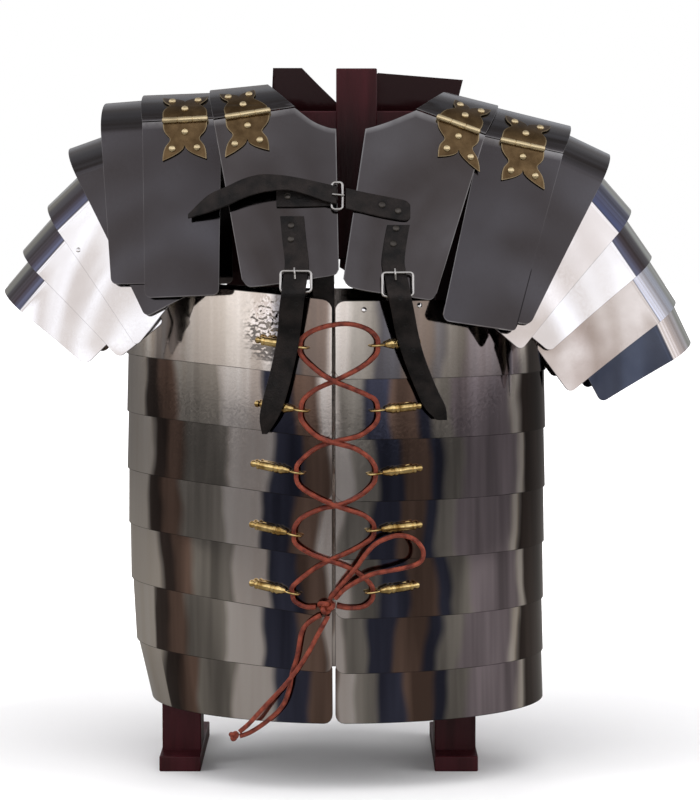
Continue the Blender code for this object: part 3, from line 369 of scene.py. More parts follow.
# %% Rubbing: fine marks as a roughness and a height
rubbing, given, end = new_group(
    "rubbing",
    [("Scale", "Float", 400.0), ("Low", "Float", 0.1), ("High", "Float", 0.3)],
    [("Roughness", "Float"), ("Height", "Float")],
)
fine = add_node(rubbing, "TexNoise", {"Vector": given["Vector"], "Scale": given["Scale"], "Detail": 4.0,
                                      "Roughness": 0.6})
broad = add_node(rubbing, "TexNoise", {"Vector": given["Vector"], "Scale": 9.0, "Detail": 2.0})
rubbed = add_node(rubbing, "MapRange", {"Value": reckon(rubbing, "MULTIPLY", fine, broad), "From Min": 0.12,
                                        "From Max": 0.42, "To Min": given["Low"], "To Max": given["High"]})
feed(rubbing, end, {"Roughness": rubbed, "Height": fine})
print("group:", rubbing.name)

# %% Edge wear and painted edge shade: the rim value, broken up by noise
edge_wear_and_shade, given, end = new_group(
    "edge wear and painted edge shade",
    [("Color", "Color", (0.1, 0.1, 0.1, 1)), ("Rim Wear And Shade", "Color", (0.6, 0.6, 0.6, 1)), ("Amount", "Float", 0.8)],
    [("Color", "Color")],
)
broken = add_node(edge_wear_and_shade, "TexNoise", {"Vector": given["Vector"], "Scale": 60.0, "Detail": 3.0})
patchy = reckon(edge_wear_and_shade, "MULTIPLY", mark_value(edge_wear_and_shade, "rim"), broken)
rim_share = reckon(edge_wear_and_shade, "MULTIPLY", patchy, given["Amount"], use_clamp=True)
feed(edge_wear_and_shade, end, {"Color": mixed(edge_wear_and_shade, rim_share, given["Color"], given["Rim Wear And Shade"])})
print("group:", edge_wear_and_shade.name)

# %% [markdown]
# ## Finishes
# Polished steel is a mirror with a life of its own: slow waves left by the hammer and
# the rollers stretch what it reflects into upright streaks, and rubbing marks blur it.
# Here the waves are a bump, and the streaks of two colours are painted into the base
# colour, as painted reflections on the girdle. The same recipe, with other numbers, gives
# the darker shoulder plates, whose dark tone is a painted dark reflection, and the brass.

# %% Metal finish
def new_finish(name):
    """A material with its node tree, its shader and the piece's own coordinates."""
    material = bpy.data.materials.new(name)
    material.use_nodes = True
    tree = material.node_tree
    place = add_node(tree, "TexCoord", name="place").outputs["Object"]
    return material, tree, tree.nodes["Principled BSDF"], place


def metal(name, low, high, rim_wear_and_shade, scale, rough, waves, marks, stretch=(1, 1, 1), sharpness=2.0, tilt=0.0,
          amount=0.8):
    """Streaks of two colours, a rim tone, rubbing marks, and slow waves as a bump.

    waves holds their scale and strength, and marks the strength of the rubbing marks.
    stretch scales the piece's coordinates, so a small value draws a pattern out that way.
    tilt leans the normal upwards, and amount is how strongly the rim takes its rim tone, which on the girdle
    is a painted shadow line.
    """
    material, tree, shader, place = new_finish(name)
    drawn = add_node(tree, "Mapping", {"Vector": place, "Scale": stretch}, name="drawn out")
    tint = add_node(tree, "Group", node_tree=streaks, name="tint")
    feed(tree, tint, {"Vector": drawn, "Scale": scale, "Sharpness": sharpness, "Low": low, "High": high})
    edges = add_node(tree, "Group", node_tree=edge_wear_and_shade, name="edges")
    feed(tree, edges, {"Vector": place, "Color": tint, "Rim Wear And Shade": rim_wear_and_shade, "Amount": amount})
    rub = add_node(tree, "Group", node_tree=rubbing)
    feed(tree, rub, {"Vector": place, "Low": rough[0], "High": rough[1]})
    face = add_node(tree, "NewGeometry").outputs["Normal"]
    leaned = add_node(tree, "VectorMath", {0: face, 1: (0, 0, tilt)}, operation="ADD")
    unit = add_node(tree, "VectorMath", {0: leaned}, operation="NORMALIZE")
    wave = add_node(tree, "TexNoise", {"Vector": drawn, "Scale": waves[0], "Detail": 1.0})
    bump = add_node(tree, "Bump", {"Height": wave, "Normal": unit, "Strength": waves[1], "Distance": 0.01})
    scratch = add_node(tree, "Bump", {"Height": rub.outputs["Height"], "Normal": bump, "Strength": marks,
                                      "Distance": 0.0002})
    feed(tree, shader, {"Base Color": edges, "Roughness": rub, "Metallic": 1.0, "Normal": scratch})
    return material


def paint_over(material, factor, colour, blend="MIX"):
    """Lays a colour over what a finish has so far. Returns its shader."""
    tree = material.node_tree
    shader = tree.nodes["Principled BSDF"]
    below = shader.inputs["Base Color"].links[0].from_socket
    feed(tree, shader, {"Base Color": mixed(tree, factor, below, colour, blend)})
    return shader


# %% Shoulder steel, brass and wire
# The dark base colour of the shoulder and breast steels is a painted dark reflection.
SHOULDER_LOW, SHOULDER_HIGH = (0.058, 0.052, 0.053), (0.082, 0.078, 0.084)
shoulder_steel = metal("shoulder steel, painted dark reflection", SHOULDER_LOW, SHOULDER_HIGH, (0.45, 0.44, 0.43),
                       8.0, (0.10, 0.22), (5.0, 0.04), 0.05, tilt=0.10)
breast_steel = metal("breast steel, painted dark reflection", (0.052, 0.044, 0.043), (0.098, 0.091, 0.092), (0.50, 0.49, 0.48),
                     8.0, (0.06, 0.18), (5.0, 0.05), 0.05)
aged_brass = metal("aged brass", (0.085, 0.054, 0.026), (0.15, 0.098, 0.048), (0.80, 0.66, 0.40),
                   90.0, (0.20, 0.40), (60.0, 0.04), 0.2, sharpness=3.0, amount=2.2)
bright_brass = metal("bright brass", (0.30, 0.18, 0.05), (0.95, 0.72, 0.32), (0.9, 0.75, 0.4),
                     120.0, (0.06, 0.18), (90.0, 0.10), 0.1, sharpness=3.0)
wire_nickel = metal("nickel wire", (0.46, 0.45, 0.43), (0.62, 0.61, 0.59), (0.9, 0.9, 0.9),
                    150.0, (0.12, 0.28), (90.0, 0.03), 0.08)
dark_rivet = metal("dark rivet heads", (0.05, 0.045, 0.04), (0.12, 0.11, 0.10), (0.3, 0.3, 0.3),
                   200.0, (0.28, 0.5), (80.0, 0.03), 0.2)
print("plain metals ready")

# %% Back plates' steel: a painted dark reflection outside, and painted shade with a painted reflection of the maroon stand on the hollow side
collar_steel = metal("back steel, painted shade and stand reflection inside", SHOULDER_LOW, SHOULDER_HIGH, (0.20, 0.17, 0.17),
                     8.0, (0.14, 0.30), (5.0, 0.04), 0.05)
tree = collar_steel.node_tree
hollow = mark_value(tree, "lined")
# The hollow side's dark maroon, laid on as a dull non-metal, is painted shade and a painted reflection of the
# maroon stand.
shader = paint_over(collar_steel, hollow, (0.011, 0.0025, 0.003))
feed(tree, shader, {"Metallic": reckon(tree, "SUBTRACT", 1.0, hollow), "Specular IOR Level": 0.15})
print("back plates' steel ready")

# %% Arm steel: painted reflections, one tone on the flat and others up the crest of the arch
# Painted reflections up the crest: a dark line where the flat ends, and an olive-grey painted highlight at
# the top.
CREST_REFLECTION_LINE, CREST_HIGHLIGHT = (0.05, 0.05, 0.06), (0.42, 0.43, 0.35)


def arm_finish(name, low, high, side, crown_reflection):
    """Steel with painted reflections. The crest value, 0 on the flat and 1 at the top, picks the crest's
    tones.
    """
    material = metal(name, low, high, (0.22, 0.21, 0.22), 12.0, (0.06, 0.20), (6.0, 0.05), 0.05,
                     tilt=0.20, amount=1.6)
    tree = material.node_tree
    height = mark_value(tree, "crest")
    tones = tone_ramp(tree, height, ((0.10, CREST_REFLECTION_LINE), (0.16, side), (0.40, crown_reflection), (0.70, crown_reflection),
                                     (0.78, CREST_HIGHLIGHT), (1.0, CREST_HIGHLIGHT)))
    border = add_node(tree, "MapRange", {"Value": height, "From Min": 0.09, "From Max": 0.12})
    paint_over(material, border, tones)
    return material


# Copies of one steel with different painted reflections: a near-white flat for the bright room, and painted
# dark, navy or pale bands up the crest.
arm_steel = arm_finish("bright arm steel", (0.83, 0.81, 0.805), (1.0, 1.0, 1.0),
                       (0.14, 0.15, 0.22), (0.07, 0.055, 0.062))
blue_reflection_arm_steel = arm_finish("bright arm steel, painted blue crest reflection", (0.74, 0.69, 0.66), (0.92, 0.89, 0.87),
                        (0.10, 0.12, 0.22), (0.13, 0.14, 0.22))
pale_reflection_arm_steel = arm_finish("arm steel, painted pale crest reflection", (0.34, 0.27, 0.23), (0.74, 0.69, 0.65),
                        (0.78, 0.80, 0.90), (0.70, 0.72, 0.80))
dark_reflection_arm_steel = arm_finish("arm steel, painted dark reflection", (0.035, 0.042, 0.065), (0.085, 0.095, 0.125),
                       (0.80, 0.74, 0.70), (0.74, 0.68, 0.66))
print("arm steels ready")

# %% [markdown]
# The girdle shows a whole room. Its reflections run down all the hoops as upright bands
# of navy, brown and pale grey, and a small shift at each hoop breaks them a little. They
# are painted reflections in the steel's base colour: a ramp along the hoop places the
# broad bands, and streaks of noise lie over it.

# %% Girdle steel, with painted reflections, a painted highlight and a painted shadow line
NAVY, BROWN, OLIVE = (0.065, 0.072, 0.115), (0.23, 0.155, 0.125), (0.37, 0.355, 0.33)
PALE, VIOLET, BLACK = (0.80, 0.76, 0.74), (0.33, 0.29, 0.325), (0.080, 0.062, 0.056)
GREY, HIGHLIGHT_TONE = (0.82, 0.78, 0.73), (1.0, 0.93, 0.87)
# Each painted reflection band's tone and where it begins, in millimetres to the right of the opening
BANDS = ((-215, GREY), (-166, BLACK), (-152, BROWN), (-136, OLIVE), (-98, PALE), (-60, NAVY),
         (-30, BROWN), (-3, PALE), (16, OLIVE), (40, NAVY), (66, BROWN), (92, NAVY), (104, OLIVE),
         (122, VIOLET), (172, GREY), (181, BLACK))
BANDS_END, FADE_IN, FADE_OUT, WAVER = 215.0, 1.5, 4.5, 0.042


def band_stops():
    """Two stops for each band, a little inside its two ends, as shares of all the bands' width."""
    ends = [begins for begins, tone in BANDS[1:]] + [BANDS_END]
    for (begins, tone), stop in zip(BANDS, ends):
        for place in (begins + FADE_IN, stop - FADE_OUT):
            yield (place + BANDS_END) / (2 * BANDS_END), tone


def girdle_finish():
    """Painted reflection bands with wavering borders, fine streaks over them, mixed towards a painted
    highlight by the lift value.
    """
    # The dark rim tone is a painted shadow line along each hoop's edges, and the upright streaks are painted
    # reflections.
    material = metal("polished girdle steel", (0.10, 0.09, 0.085), (0.62, 0.60, 0.585), (0.03, 0.027, 0.025),
                     34.0, (0.03, 0.14), (7.0, 0.10), 0.04, stretch=(1, 1, 0.05), sharpness=4.0, amount=2.0)
    tree = material.node_tree
    place = tree.nodes["place"].outputs["Object"]
    moved = add_node(tree, "Attribute", attribute_name="shift").outputs
    placed = {0: tree.nodes["drawn out"], 1: moved["Vector"]}
    feed(tree, tree.nodes["tint"], {"Vector": add_node(tree, "VectorMath", placed, operation="ADD")})
    waver = add_node(tree, "TexNoise", {"Vector": place, "Scale": 9.0, "Detail": 2.0})
    small = add_node(tree, "MapRange", {"Value": waver, "To Min": -WAVER, "To Max": WAVER})
    along = reckon(tree, "ADD", mark_value(tree, "around"), small)
    bands = tone_ramp(tree, reckon(tree, "ADD", along, moved["Fac"]), list(band_stops()))
    streaked = mixed(tree, 0.60, bands, tree.nodes["tint"], "OVERLAY")
    # The lift value mixes in the top hoop's painted highlight.
    feed(tree, tree.nodes["edges"], {"Color": mixed(tree, mark_value(tree, "lift"), streaked, HIGHLIGHT_TONE)})
    pits = add_node(tree, "TexNoise", {"Vector": place, "Scale": 190.0, "Detail": 1.0})
    shader = tree.nodes["Principled BSDF"]
    blows = {"Height": reckon(tree, "MULTIPLY", mark_value(tree, "dent"), pits), "Strength": 1.0,
             "Distance": 0.004, "Normal": shader.inputs["Normal"].links[0].from_socket}
    feed(tree, shader, {"Normal": add_node(tree, "Bump", blows)})
    return material


girdle_steel = girdle_finish()
print("girdle steel:", len(girdle_steel.node_tree.nodes), "nodes")

# %% [markdown]
# Leather has no rim of bare metal. Its look is a fine pebble grain, a soft sheen where
# hands have polished it, and a colour that is a little lighter where it has rubbed.

# %% Leather and wood finishes
def soft(name, low, high, scale, rough, grain, depth, stretch=(1, 1, 1), shine=0.5):
    """Two colours by streaks, roughness by rubbing, and a grain of cells as a bump."""
    material, tree, shader, place = new_finish(name)
    drawn = add_node(tree, "Mapping", {"Vector": place, "Scale": stretch})
    tint = add_node(tree, "Group", node_tree=streaks)
    feed(tree, tint, {"Vector": drawn, "Scale": scale, "Low": low, "High": high})
    rub = add_node(tree, "Group", node_tree=rubbing)
    feed(tree, rub, {"Vector": drawn, "Low": rough[0], "High": rough[1]})
    cells = add_node(tree, "TexVoronoi", {"Vector": drawn, "Scale": grain})
    bump = add_node(tree, "Bump", {"Height": cells, "Strength": 0.5, "Distance": depth})
    feed(tree, shader, {"Base Color": tint, "Roughness": rub, "Normal": bump, "Specular IOR Level": shine})
    return material


strap_leather = soft("black strap leather", (0.003, 0.0026, 0.0025), (0.012, 0.009, 0.008),
                     70.0, (0.34, 0.62), 700.0, 0.0005, shine=0.20)
lace_leather = soft("red-brown lace leather", (0.075, 0.011, 0.006), (0.205, 0.039, 0.019),
                    160.0, (0.38, 0.65), 1100.0, 0.00025, shine=0.3)
# The punched holes are dark plugs: painted shade standing in for the holes' insides.
hole_shade = soft("punched hole", (0.003, 0.003, 0.003), (0.006, 0.005, 0.005),
                 300.0, (0.8, 0.9), 900.0, 0.0001)
stand_wood = soft("maroon painted wood", (0.022, 0.003, 0.004), (0.043, 0.006, 0.009),
                  60.0, (0.30, 0.50), 500.0, 0.0002, stretch=(1, 1, 0.08), shine=0.2)
print("leathers and wood ready")

# %% Painted shade: the stand is darker where it stands inside the armour, from 0.14 to 0.60 m
LIT, SHADED = (1, 1, 1), (0.3, 0.3, 0.3)
tree = stand_wood.node_tree
level = add_node(tree, "SeparateXYZ", {"Vector": tree.nodes["place"].outputs["Object"]}).outputs["Z"]
shade = tone_ramp(tree, level, ((0.10, LIT), (0.14, SHADED), (0.60, SHADED), (0.65, LIT)))
paint_over(stand_wood, 1.0, shade, "MULTIPLY")
print("wood shaded by height")

# %% [markdown]
# ## Girdle hoops
# Each hoop is an oval band, open at the front and leaning in a touch towards its top,
# so that it slips inside the one above. The front corners are rounded. The band is a
# function of the angle round the body and of the share of its height.

# %% Girdle hoops
STEEL = 1.2
GIRDLE_DEPTH, GIRDLE_SIDE = 145.0, 205.0
OPENING_X, OPENING_HALF = -2.2, 1.4
HOOP_OVERLAP, HOOP_LEAN, HOOP_CORNER = 13.0, 2.0, 9.0
# Front height, rise at the viewer's left, reach to the left and to the right
HOOP_EDGES = (
    (460.6, 15, 205.0, 204.0), (388.1, 16, 205.0, 204.0), (332.0, 16, 205.0, 204.0),
    (274.3, 18, 205.0, 204.0), (220.1, 19, 204.0, 203.5), (164.8, 20, 202.0, 203.0),
    (113.0, 11, 197.0, 203.0), (65.8, 1, 182.0, 203.0),
)


def corner_inset(away, radius):
    """What a rounded corner takes off at a distance from the side: r - sqrt(r^2 - (r - s)^2)."""
    gone = np.clip(radius - away, 0, radius)
    return radius - np.sqrt(radius**2 - gone**2)


def hoop_surface(number, angle, share):
    """x = reach sin(angle), y = -depth cos(angle), with z and the lean by the height's share."""
    high, low = HOOP_EDGES[number - 1], HOOP_EDGES[number]
    extra = 0.0 if number == 1 else HOOP_OVERLAP
    along, forward = np.sin(angle), -np.cos(angle)
    reach_low = np.where(along > 0, low[3], low[2])
    reach_high = np.where(along > 0, high[3], high[2])
    side = np.abs(along)
    rise = np.where(along > 0, 0, np.where(forward < 0, 1 - (1 - side) ** 1.6, side**2))
    bottom, top = low[0] + low[1] * rise, high[0] + high[1] * rise
    z = bottom + (top - bottom + extra) * share
    up = np.clip((z - bottom) / (top - bottom), 0, 1)
    lean = HOOP_LEAN * share
    reach = reach_low + (reach_high - reach_low) * up - lean
    return np.stack([reach * along, (GIRDLE_DEPTH - lean) * forward, z], axis=-1)


CORNER_TURNS = 1 - np.cos(np.radians([0, 22, 45, 67, 90]))
first = math.asin((OPENING_X + OPENING_HALF) / GIRDLE_SIDE)
last = 2 * math.pi + math.asin((OPENING_X - OPENING_HALF) / GIRDLE_SIDE)
corner = HOOP_CORNER / GIRDLE_SIDE
hoop_angles = np.concatenate([first + CORNER_TURNS * corner,
                              np.linspace(first + corner, last - corner, 182)[1:-1],
                              last - CORNER_TURNS[::-1] * corner])
# How far each hoop's painted reflections are set off from the bands' own places
HOOP_SHIFTS = (0.0, 0.022, 0.004, 0.016, -0.006, 0.014, -0.012)
BANDS_FRONT, BANDS_SIDE, BANDS_BEHIND = 181.0, 68.0, 430.0
# The top hoop's worn spot: x, height, and how far it reaches in both
DENT_X, DENT_Z, DENT_WIDE, DENT_HIGH = -60, 438, 12, 16
# The top hoop's painted highlight: x, reach and amount of each paler place, over what the whole hoop has
HIGHLIGHT_ALL, HIGHLIGHT_SPOTS = 0.09, ((-108, 42, 0.65), (86, 20, 0.14))


def band_place(points):
    """0 to 1 across the front by x, then on along y at the side and back by x, as a folded wave.

    The run c is |x| in front, 181 + (y + 68) at the side, and behind it grows to 430 as
    |x| falls to 0, so that both ways round meet there. On the left c is less than 0.
    The place is 1 - |(c + 215) / 430 mod 2 - 1|.
    """
    x, y = np.minimum(np.abs(points[:, 0]), BANDS_FRONT), points[:, 1]
    behind = BANDS_BEHIND - x * (BANDS_BEHIND - BANDS_FRONT - 2 * BANDS_SIDE) / BANDS_FRONT
    c = np.where(y < -BANDS_SIDE, x, np.where(y < BANDS_SIDE, BANDS_FRONT + BANDS_SIDE + y, behind))
    return 1 - np.abs((np.where(points[:, 0] < 0, -c, c) + BANDS_END) / (2 * BANDS_END) % 2 - 1)


def top_hoop_marks(x, y, z):
    """Bell curves e^-((v - middle) / reach)^2 for the dents, in front only, and for the lift, which is a
    painted highlight.
    """
    dent = np.exp(-(((x - DENT_X) / DENT_WIDE) ** 2) - ((z - DENT_Z) / DENT_HIGH) ** 2) * (y < 0)
    lift = HIGHLIGHT_ALL + sum(amount * np.exp(-(((x - middle) / reach) ** 2)) for middle, reach, amount in HIGHLIGHT_SPOTS)
    return dent, lift


for number, (high, low) in enumerate(zip(HOOP_EDGES, HOOP_EDGES[1:]), 1):
    away = np.minimum(hoop_angles - first, last - hoop_angles) * GIRDLE_SIDE
    height = high[0] - low[0] + (0 if number == 1 else HOOP_OVERLAP)
    inset = corner_inset(away, HOOP_CORNER) / height
    shares = inset + (1 - 2 * inset) * edge_rows(11, True)[:, None]
    grid = hoop_surface(number, hoop_angles[None, :], shares)
    wall = slab(grid, STEEL, (0, 0, grid[..., 2].mean()))
    # The lift mark holds the top hoop's painted highlight.
    dent, lift = top_hoop_marks(*wall[0].T) if number == 1 else np.zeros((2, len(wall[0])))
    piece(f"hoop_{number}", wall, girdle_steel, "bright_steel", [f"girdle_hoop_{number}"], 0.3,
          rim=rim_values(grid), shift=np.full(len(wall[0]), HOOP_SHIFTS[number - 1]), dent=dent, lift=lift,
          around=band_place(wall[0]))
print("hoops:", number, "of", len(grid[0]), "columns")

# %% [markdown]
# ## Shoulder and chest plates
# All the shoulder plates lie in layers on one form: the chest, which falls away to the
# sides and leans out to clear the girdle. A plate over the shoulder follows an arch, and
# the plates in front and behind hang on the chest's surface.

# %% The chest's form
SHOULDER_DEPTH, ARCH_DROP = 74.0, 32.0
CHEST_TOP, CHEST_FULL, LEAN_LIMIT, CHEST_CLEAR, CHEST_REACH = 640.0, 472.0, 1.35, 3.5, 300.0
LAYER_STEP, SEAM, STRIP_CORNER = 2.4, 0.8, 6.0


def chest(x, z):
    """From the shoulder's depth out to the girdle's: by a straight lean, times cos^2 sideways."""
    turn = np.clip(np.abs(x) / CHEST_REACH, 0, 1) * math.pi / 2
    full = SHOULDER_DEPTH + (GIRDLE_DEPTH + CHEST_CLEAR - SHOULDER_DEPTH) * np.cos(turn) ** 2
    share = np.clip((CHEST_TOP - z) / (CHEST_TOP - CHEST_FULL), 0, LEAN_LIMIT)
    return SHOULDER_DEPTH + share * (full - SHOULDER_DEPTH)


def slopes(form, x, z, *more):
    """A form's slope along x and along z, each from a step of 1 mm both ways."""
    along_x = (form(x + 1, z, *more) - form(x - 1, z, *more)) / 2
    along_z = (form(x, z + 1, *more) - form(x, z - 1, *more)) / 2
    return along_x, along_z


def chest_layer(x, z, strip):
    """The chest moved out square to itself by the layers that lie below this strip's face."""
    slope_x, slope_z = slopes(chest, x, z)
    return chest(x, z) + (LAYER_STEP * (7 - strip) + STEEL) * np.sqrt(1 + slope_x**2 + slope_z**2)


def on_layer(flat, strip, side):
    """Places of x and height put on a strip's layer. side is -1 in front and 1 behind."""
    depth = side * chest_layer(flat[..., 0], flat[..., 1], strip)
    return np.stack([flat[..., 0], depth, flat[..., 1]], axis=-1)


def between(ends, shares):
    """Points on the line between two ends, at each share of its length."""
    ends = np.asarray(ends, float)
    return ends[0] + (ends[1] - ends[0]) * np.asarray(shares)[..., None]


def arch(crest, shoulder, strip, angles):
    """Down by h (1 - cos angle) and out by the layer's depth times its sine."""
    turn = np.asarray(angles)[:, None]
    flat = crest + (shoulder - crest) * (1 - np.cos(turn))[..., None]
    return on_layer(flat, strip, np.sin(turn))


def hanging(tops, ends, strip, shares, side):
    """From the tops to the ends on the strip's layer."""
    return on_layer(tops + (ends - tops) * np.asarray(shares)[:, None, None], strip, side)


# %% Columns across a strip
def strip_columns(width):
    """Shares of the width: close together in the rounded corners, even between them."""
    corner_columns = CORNER_TURNS * STRIP_CORNER / width
    middle = np.linspace(corner_columns[-1], 1 - corner_columns[-1], 9)[1:-1]
    return np.concatenate([corner_columns, middle, 1 - corner_columns[::-1]])


def end_inset(shares, width):
    """What a strip's rounded corners take off its end at each column."""
    return corner_inset(np.minimum(shares, 1 - shares) * width, STRIP_CORNER)


def plate(name, grid, inside, finish, slot, stands_for, normals=None, **marks):
    """A steel plate from its outer face, with its hollow side marked."""
    wall = slab(grid, STEEL, inside, normals)
    lined = np.repeat([0.0, 1.0], len(wall[0]) // 2)
    return piece(name, wall, finish, slot, stands_for, 0.3, rim=rim_values(grid), lined=lined, **marks)


# %% [markdown]
# Five strips on each side are bent over the shoulder in one piece, from the front end
# over the crest to the back end. They step down the upper arm like tiles.

# %% One-piece strips: number, crest line and front end line, from inner to outer end
STRIPS = {
    "left": (
        (3, ((-167, 650.0), (-222.8, 645.5)), ((-158, 476), (-211, 474))),
        (4, ((-205, 621.0), (-258.1, 602.1)), ((-128, 470), (-178, 444))),
        (5, ((-240, 585.0), (-279.3, 547.4)), ((-150, 462), (-187, 416))),
        (6, ((-262, 551.0), (-303.8, 504.6)), ((-160, 440), (-204, 405))),
        (7, ((-286, 509.0), (-322.1, 466.6)), ((-195, 438), (-237, 397))),
    ),
    "right": (
        (3, ((210, 622.0), (263.5, 596.8)), ((130, 446), (181, 437))),
        (4, ((247.5, 586.0), (284.9, 543.5)), ((130, 450), (172, 413))),
        (5, ((275, 542.0), (305.3, 498.8)), ((163, 442), (200, 411))),
        (6, ((298.5, 501.6), (329.1, 454.9)), ((186, 417), (220, 371))),
        (7, ((322, 462.0), (344.2, 415.8)), ((226, 407), (251, 361))),
    ),
}
# Each strip's finish sets its painted reflections; left strip 4 takes the shoulder steel's painted dark
# reflection.
ARM_FINISHES = {
    "left": {3: shoulder_steel, 4: shoulder_steel, 5: arm_steel, 6: arm_steel, 7: arm_steel},
    "right": {3: shoulder_steel, 4: blue_reflection_arm_steel, 5: arm_steel, 6: pale_reflection_arm_steel, 7: dark_reflection_arm_steel},
}
ARCH_TURNS = np.radians(np.linspace(-90, 90, 73))
INSIDE_DROP = 60
hang_down = edge_rows(18)[:0:-1]
crest_heights = np.concatenate([0 * hang_down, np.clip(np.cos(ARCH_TURNS), 0, 1), 0 * hang_down])
for side, rows in STRIPS.items():
    for strip, crest_line, end_line in rows:
        width = math.dist(*crest_line)
        shares = strip_columns(width)
        crest, ends = between(crest_line, shares), between(end_line, shares)
        run = ends - crest
        direction = run / np.linalg.norm(run, axis=1)[:, None]
        ends = ends - direction * end_inset(shares, width)[:, None]
        shoulder = crest + direction * ARCH_DROP
        grid = np.concatenate([hanging(shoulder, ends, strip, hang_down, -1),
                               arch(crest, shoulder, strip, ARCH_TURNS),
                               hanging(shoulder, ends, strip, hang_down[::-1], 1)])
        middle = crest.mean(axis=0)
        plate(f"arm_strip_{side}_{strip}", grid, (middle[0] * 0.9, 0, middle[1] - INSIDE_DROP),
              ARM_FINISHES[side][strip], "dark_steel" if strip == 3 else "bright_steel",
              [f"shoulder_strip_{side}_{strip}"], crest=np.tile(np.repeat(crest_heights, len(shares)), 2))
print("one-piece strips:", sum(len(rows) for rows in STRIPS.values()))

# %% [markdown]
# The two strips beside the neck are cut at the front and hinged. The first covers only
# the shoulder. The second goes on down the back in one piece.

# %% Hinged strips
HINGED = {
    "left": {
        1: {"crest": ((-66.6, 663.8), (-121.9, 658.2)), "hinge": ((-38.8, 639.4), (-114.9, 627.8)),
            "back": ((-70.5, 636.6), (-114.9, 627.8))},
        2: {"crest": ((-107.5, 656.2), (-185.9, 653.2)), "hinge": ((-107.5, 629.0), (-181.7, 625.3)),
            "end": ((-108, 466), (-178.4, 462))},
    },
    "right": {
        1: {"crest": ((104.0, 656.6), (156.0, 643.6)), "hinge": ((74.9, 637.1), (139.5, 613.6)),
            "back": ((101.0, 627.4), (139.5, 613.6))},
        2: {"crest": ((142.0, 644.6), (225.5, 624.0)), "hinge": ((136.0, 612.4), (212.4, 595.9)),
            "end": ((98.5, 443), (168, 431.5))},
    },
}
RAISED = np.array([0, SEAM])
CHEST_MIDDLE = 550
quarter = np.radians(np.linspace(90, 0, 33))


def hung_plate(row, strip, line, raised, rows, side):
    """A plate that hangs from its tops to a line with rounded corners, on the strip's layer."""
    width = math.dist(*line)
    shares = strip_columns(width)
    ends = between(row["end"], shares)
    ends[:, 1] += end_inset(shares, width)
    return hanging(between(row["hinge"], shares) + raised, ends, strip, rows, side)


for side, strips in HINGED.items():
    for strip, row in strips.items():
        shares = strip_columns(math.dist(*row["crest"]))
        crest = between(row["crest"], shares)
        front = between(row["hinge"], shares) + RAISED
        behind = between(row.get("back", row["hinge"]), shares) + RAISED
        parts = [arch(crest, front, strip, quarter) * (1, -1, 1),
                 arch(crest, behind, strip, quarter[::-1][1:])]
        name = f"top_plate_{side}_1"
        if "end" in row:
            name = f"rear_plate_{side}_2"
            parts.append(hung_plate(row, strip, row["crest"], RAISED, edge_rows(21)[1:], 1))
            front_plate = hung_plate(row, strip, row["hinge"], 0 * RAISED, edge_rows(25), -1)
            plate(f"chest_plate_{side}_2", front_plate, (row["hinge"][0][0], 0, CHEST_MIDDLE), shoulder_steel,
                  "dark_steel", [f"second_plate_{side}"])
        middle = crest.mean(axis=0)
        inside = (middle[0], 0, middle[1] - INSIDE_DROP)
        plate(f"shoulder_plate_{side}_{strip}", np.concatenate(parts), inside, shoulder_steel, "dark_steel",
              [name])
print("hinged strips: 4, with the second's chest plates")

# %% [markdown]
# The breast plates have the neck's curve cut out of their top edge. Both edges are
# smooth lines through a few measured places, and the plate runs straight between them.

# %% Breast plates: top and bottom edge, from the neck gap outwards
BREAST = {
    "left": ((0.0, 619.3, 2.7, 490.0), (-8.0, 620.6, -2.0, 485.0), (-22.0, 626.5, -20.0, 481.8),
             (-38.8, 639.0, -45.0, 477.8), (-76.0, 633.3, -72.0, 474.3), (-107.0, 628.6, -81.0, 474.6),
             (-114.9, 627.4, -86.5, 480.5)),
    "right": ((27.3, 619.3, 6.8, 482.0), (36.0, 621.5, 13.0, 474.5), (52.0, 627.0, 34.0, 469.6),
              (74.9, 636.7, 54.0, 467.4), (104.0, 626.1, 78.0, 463.0), (131.0, 616.3, 87.5, 462.4),
              (139.5, 613.2, 92.5, 468.0)),
}


def chest_normals(grid, strip, side):
    """Square to the layer: minus its slope along x, the side's sign, minus its slope along z."""
    slope_x, slope_z = slopes(chest_layer, grid[..., 0], grid[..., 2], strip)
    normals = np.stack([-slope_x, side * np.ones_like(slope_x), -slope_z], axis=-1)
    return normals / np.linalg.norm(normals, axis=-1, keepdims=True)


def neck_plate(name, edges, rows, inside_x, side, finish, node):
    """A plate of the first layer, straight from its top edge to its bottom edge."""
    grid = hanging(edges[:, :2], edges[:, 2:], 1, rows, side)
    plate(name, grid, (inside_x, 0, CHEST_MIDDLE), finish, "dark_steel", [node], chest_normals(grid, 1, side))


for side, rows in BREAST.items():
    # The corner where the neck's curve meets the top edge stays sharp
    edges = np.vstack([smooth_line(rows[:4], 5)[:-1], smooth_line(rows[3:], 5)])
    neck_plate(f"breast_{side}", edges, edge_rows(27), rows[3][0], -1, breast_steel, f"breast_plate_{side}")
print("breast plates:", len(BREAST))

# %% [markdown]
# Behind the neck the back plates stand up as a collar. Their top edge steps down where
# the shoulder's back hinge begins, so two columns lie close together there.

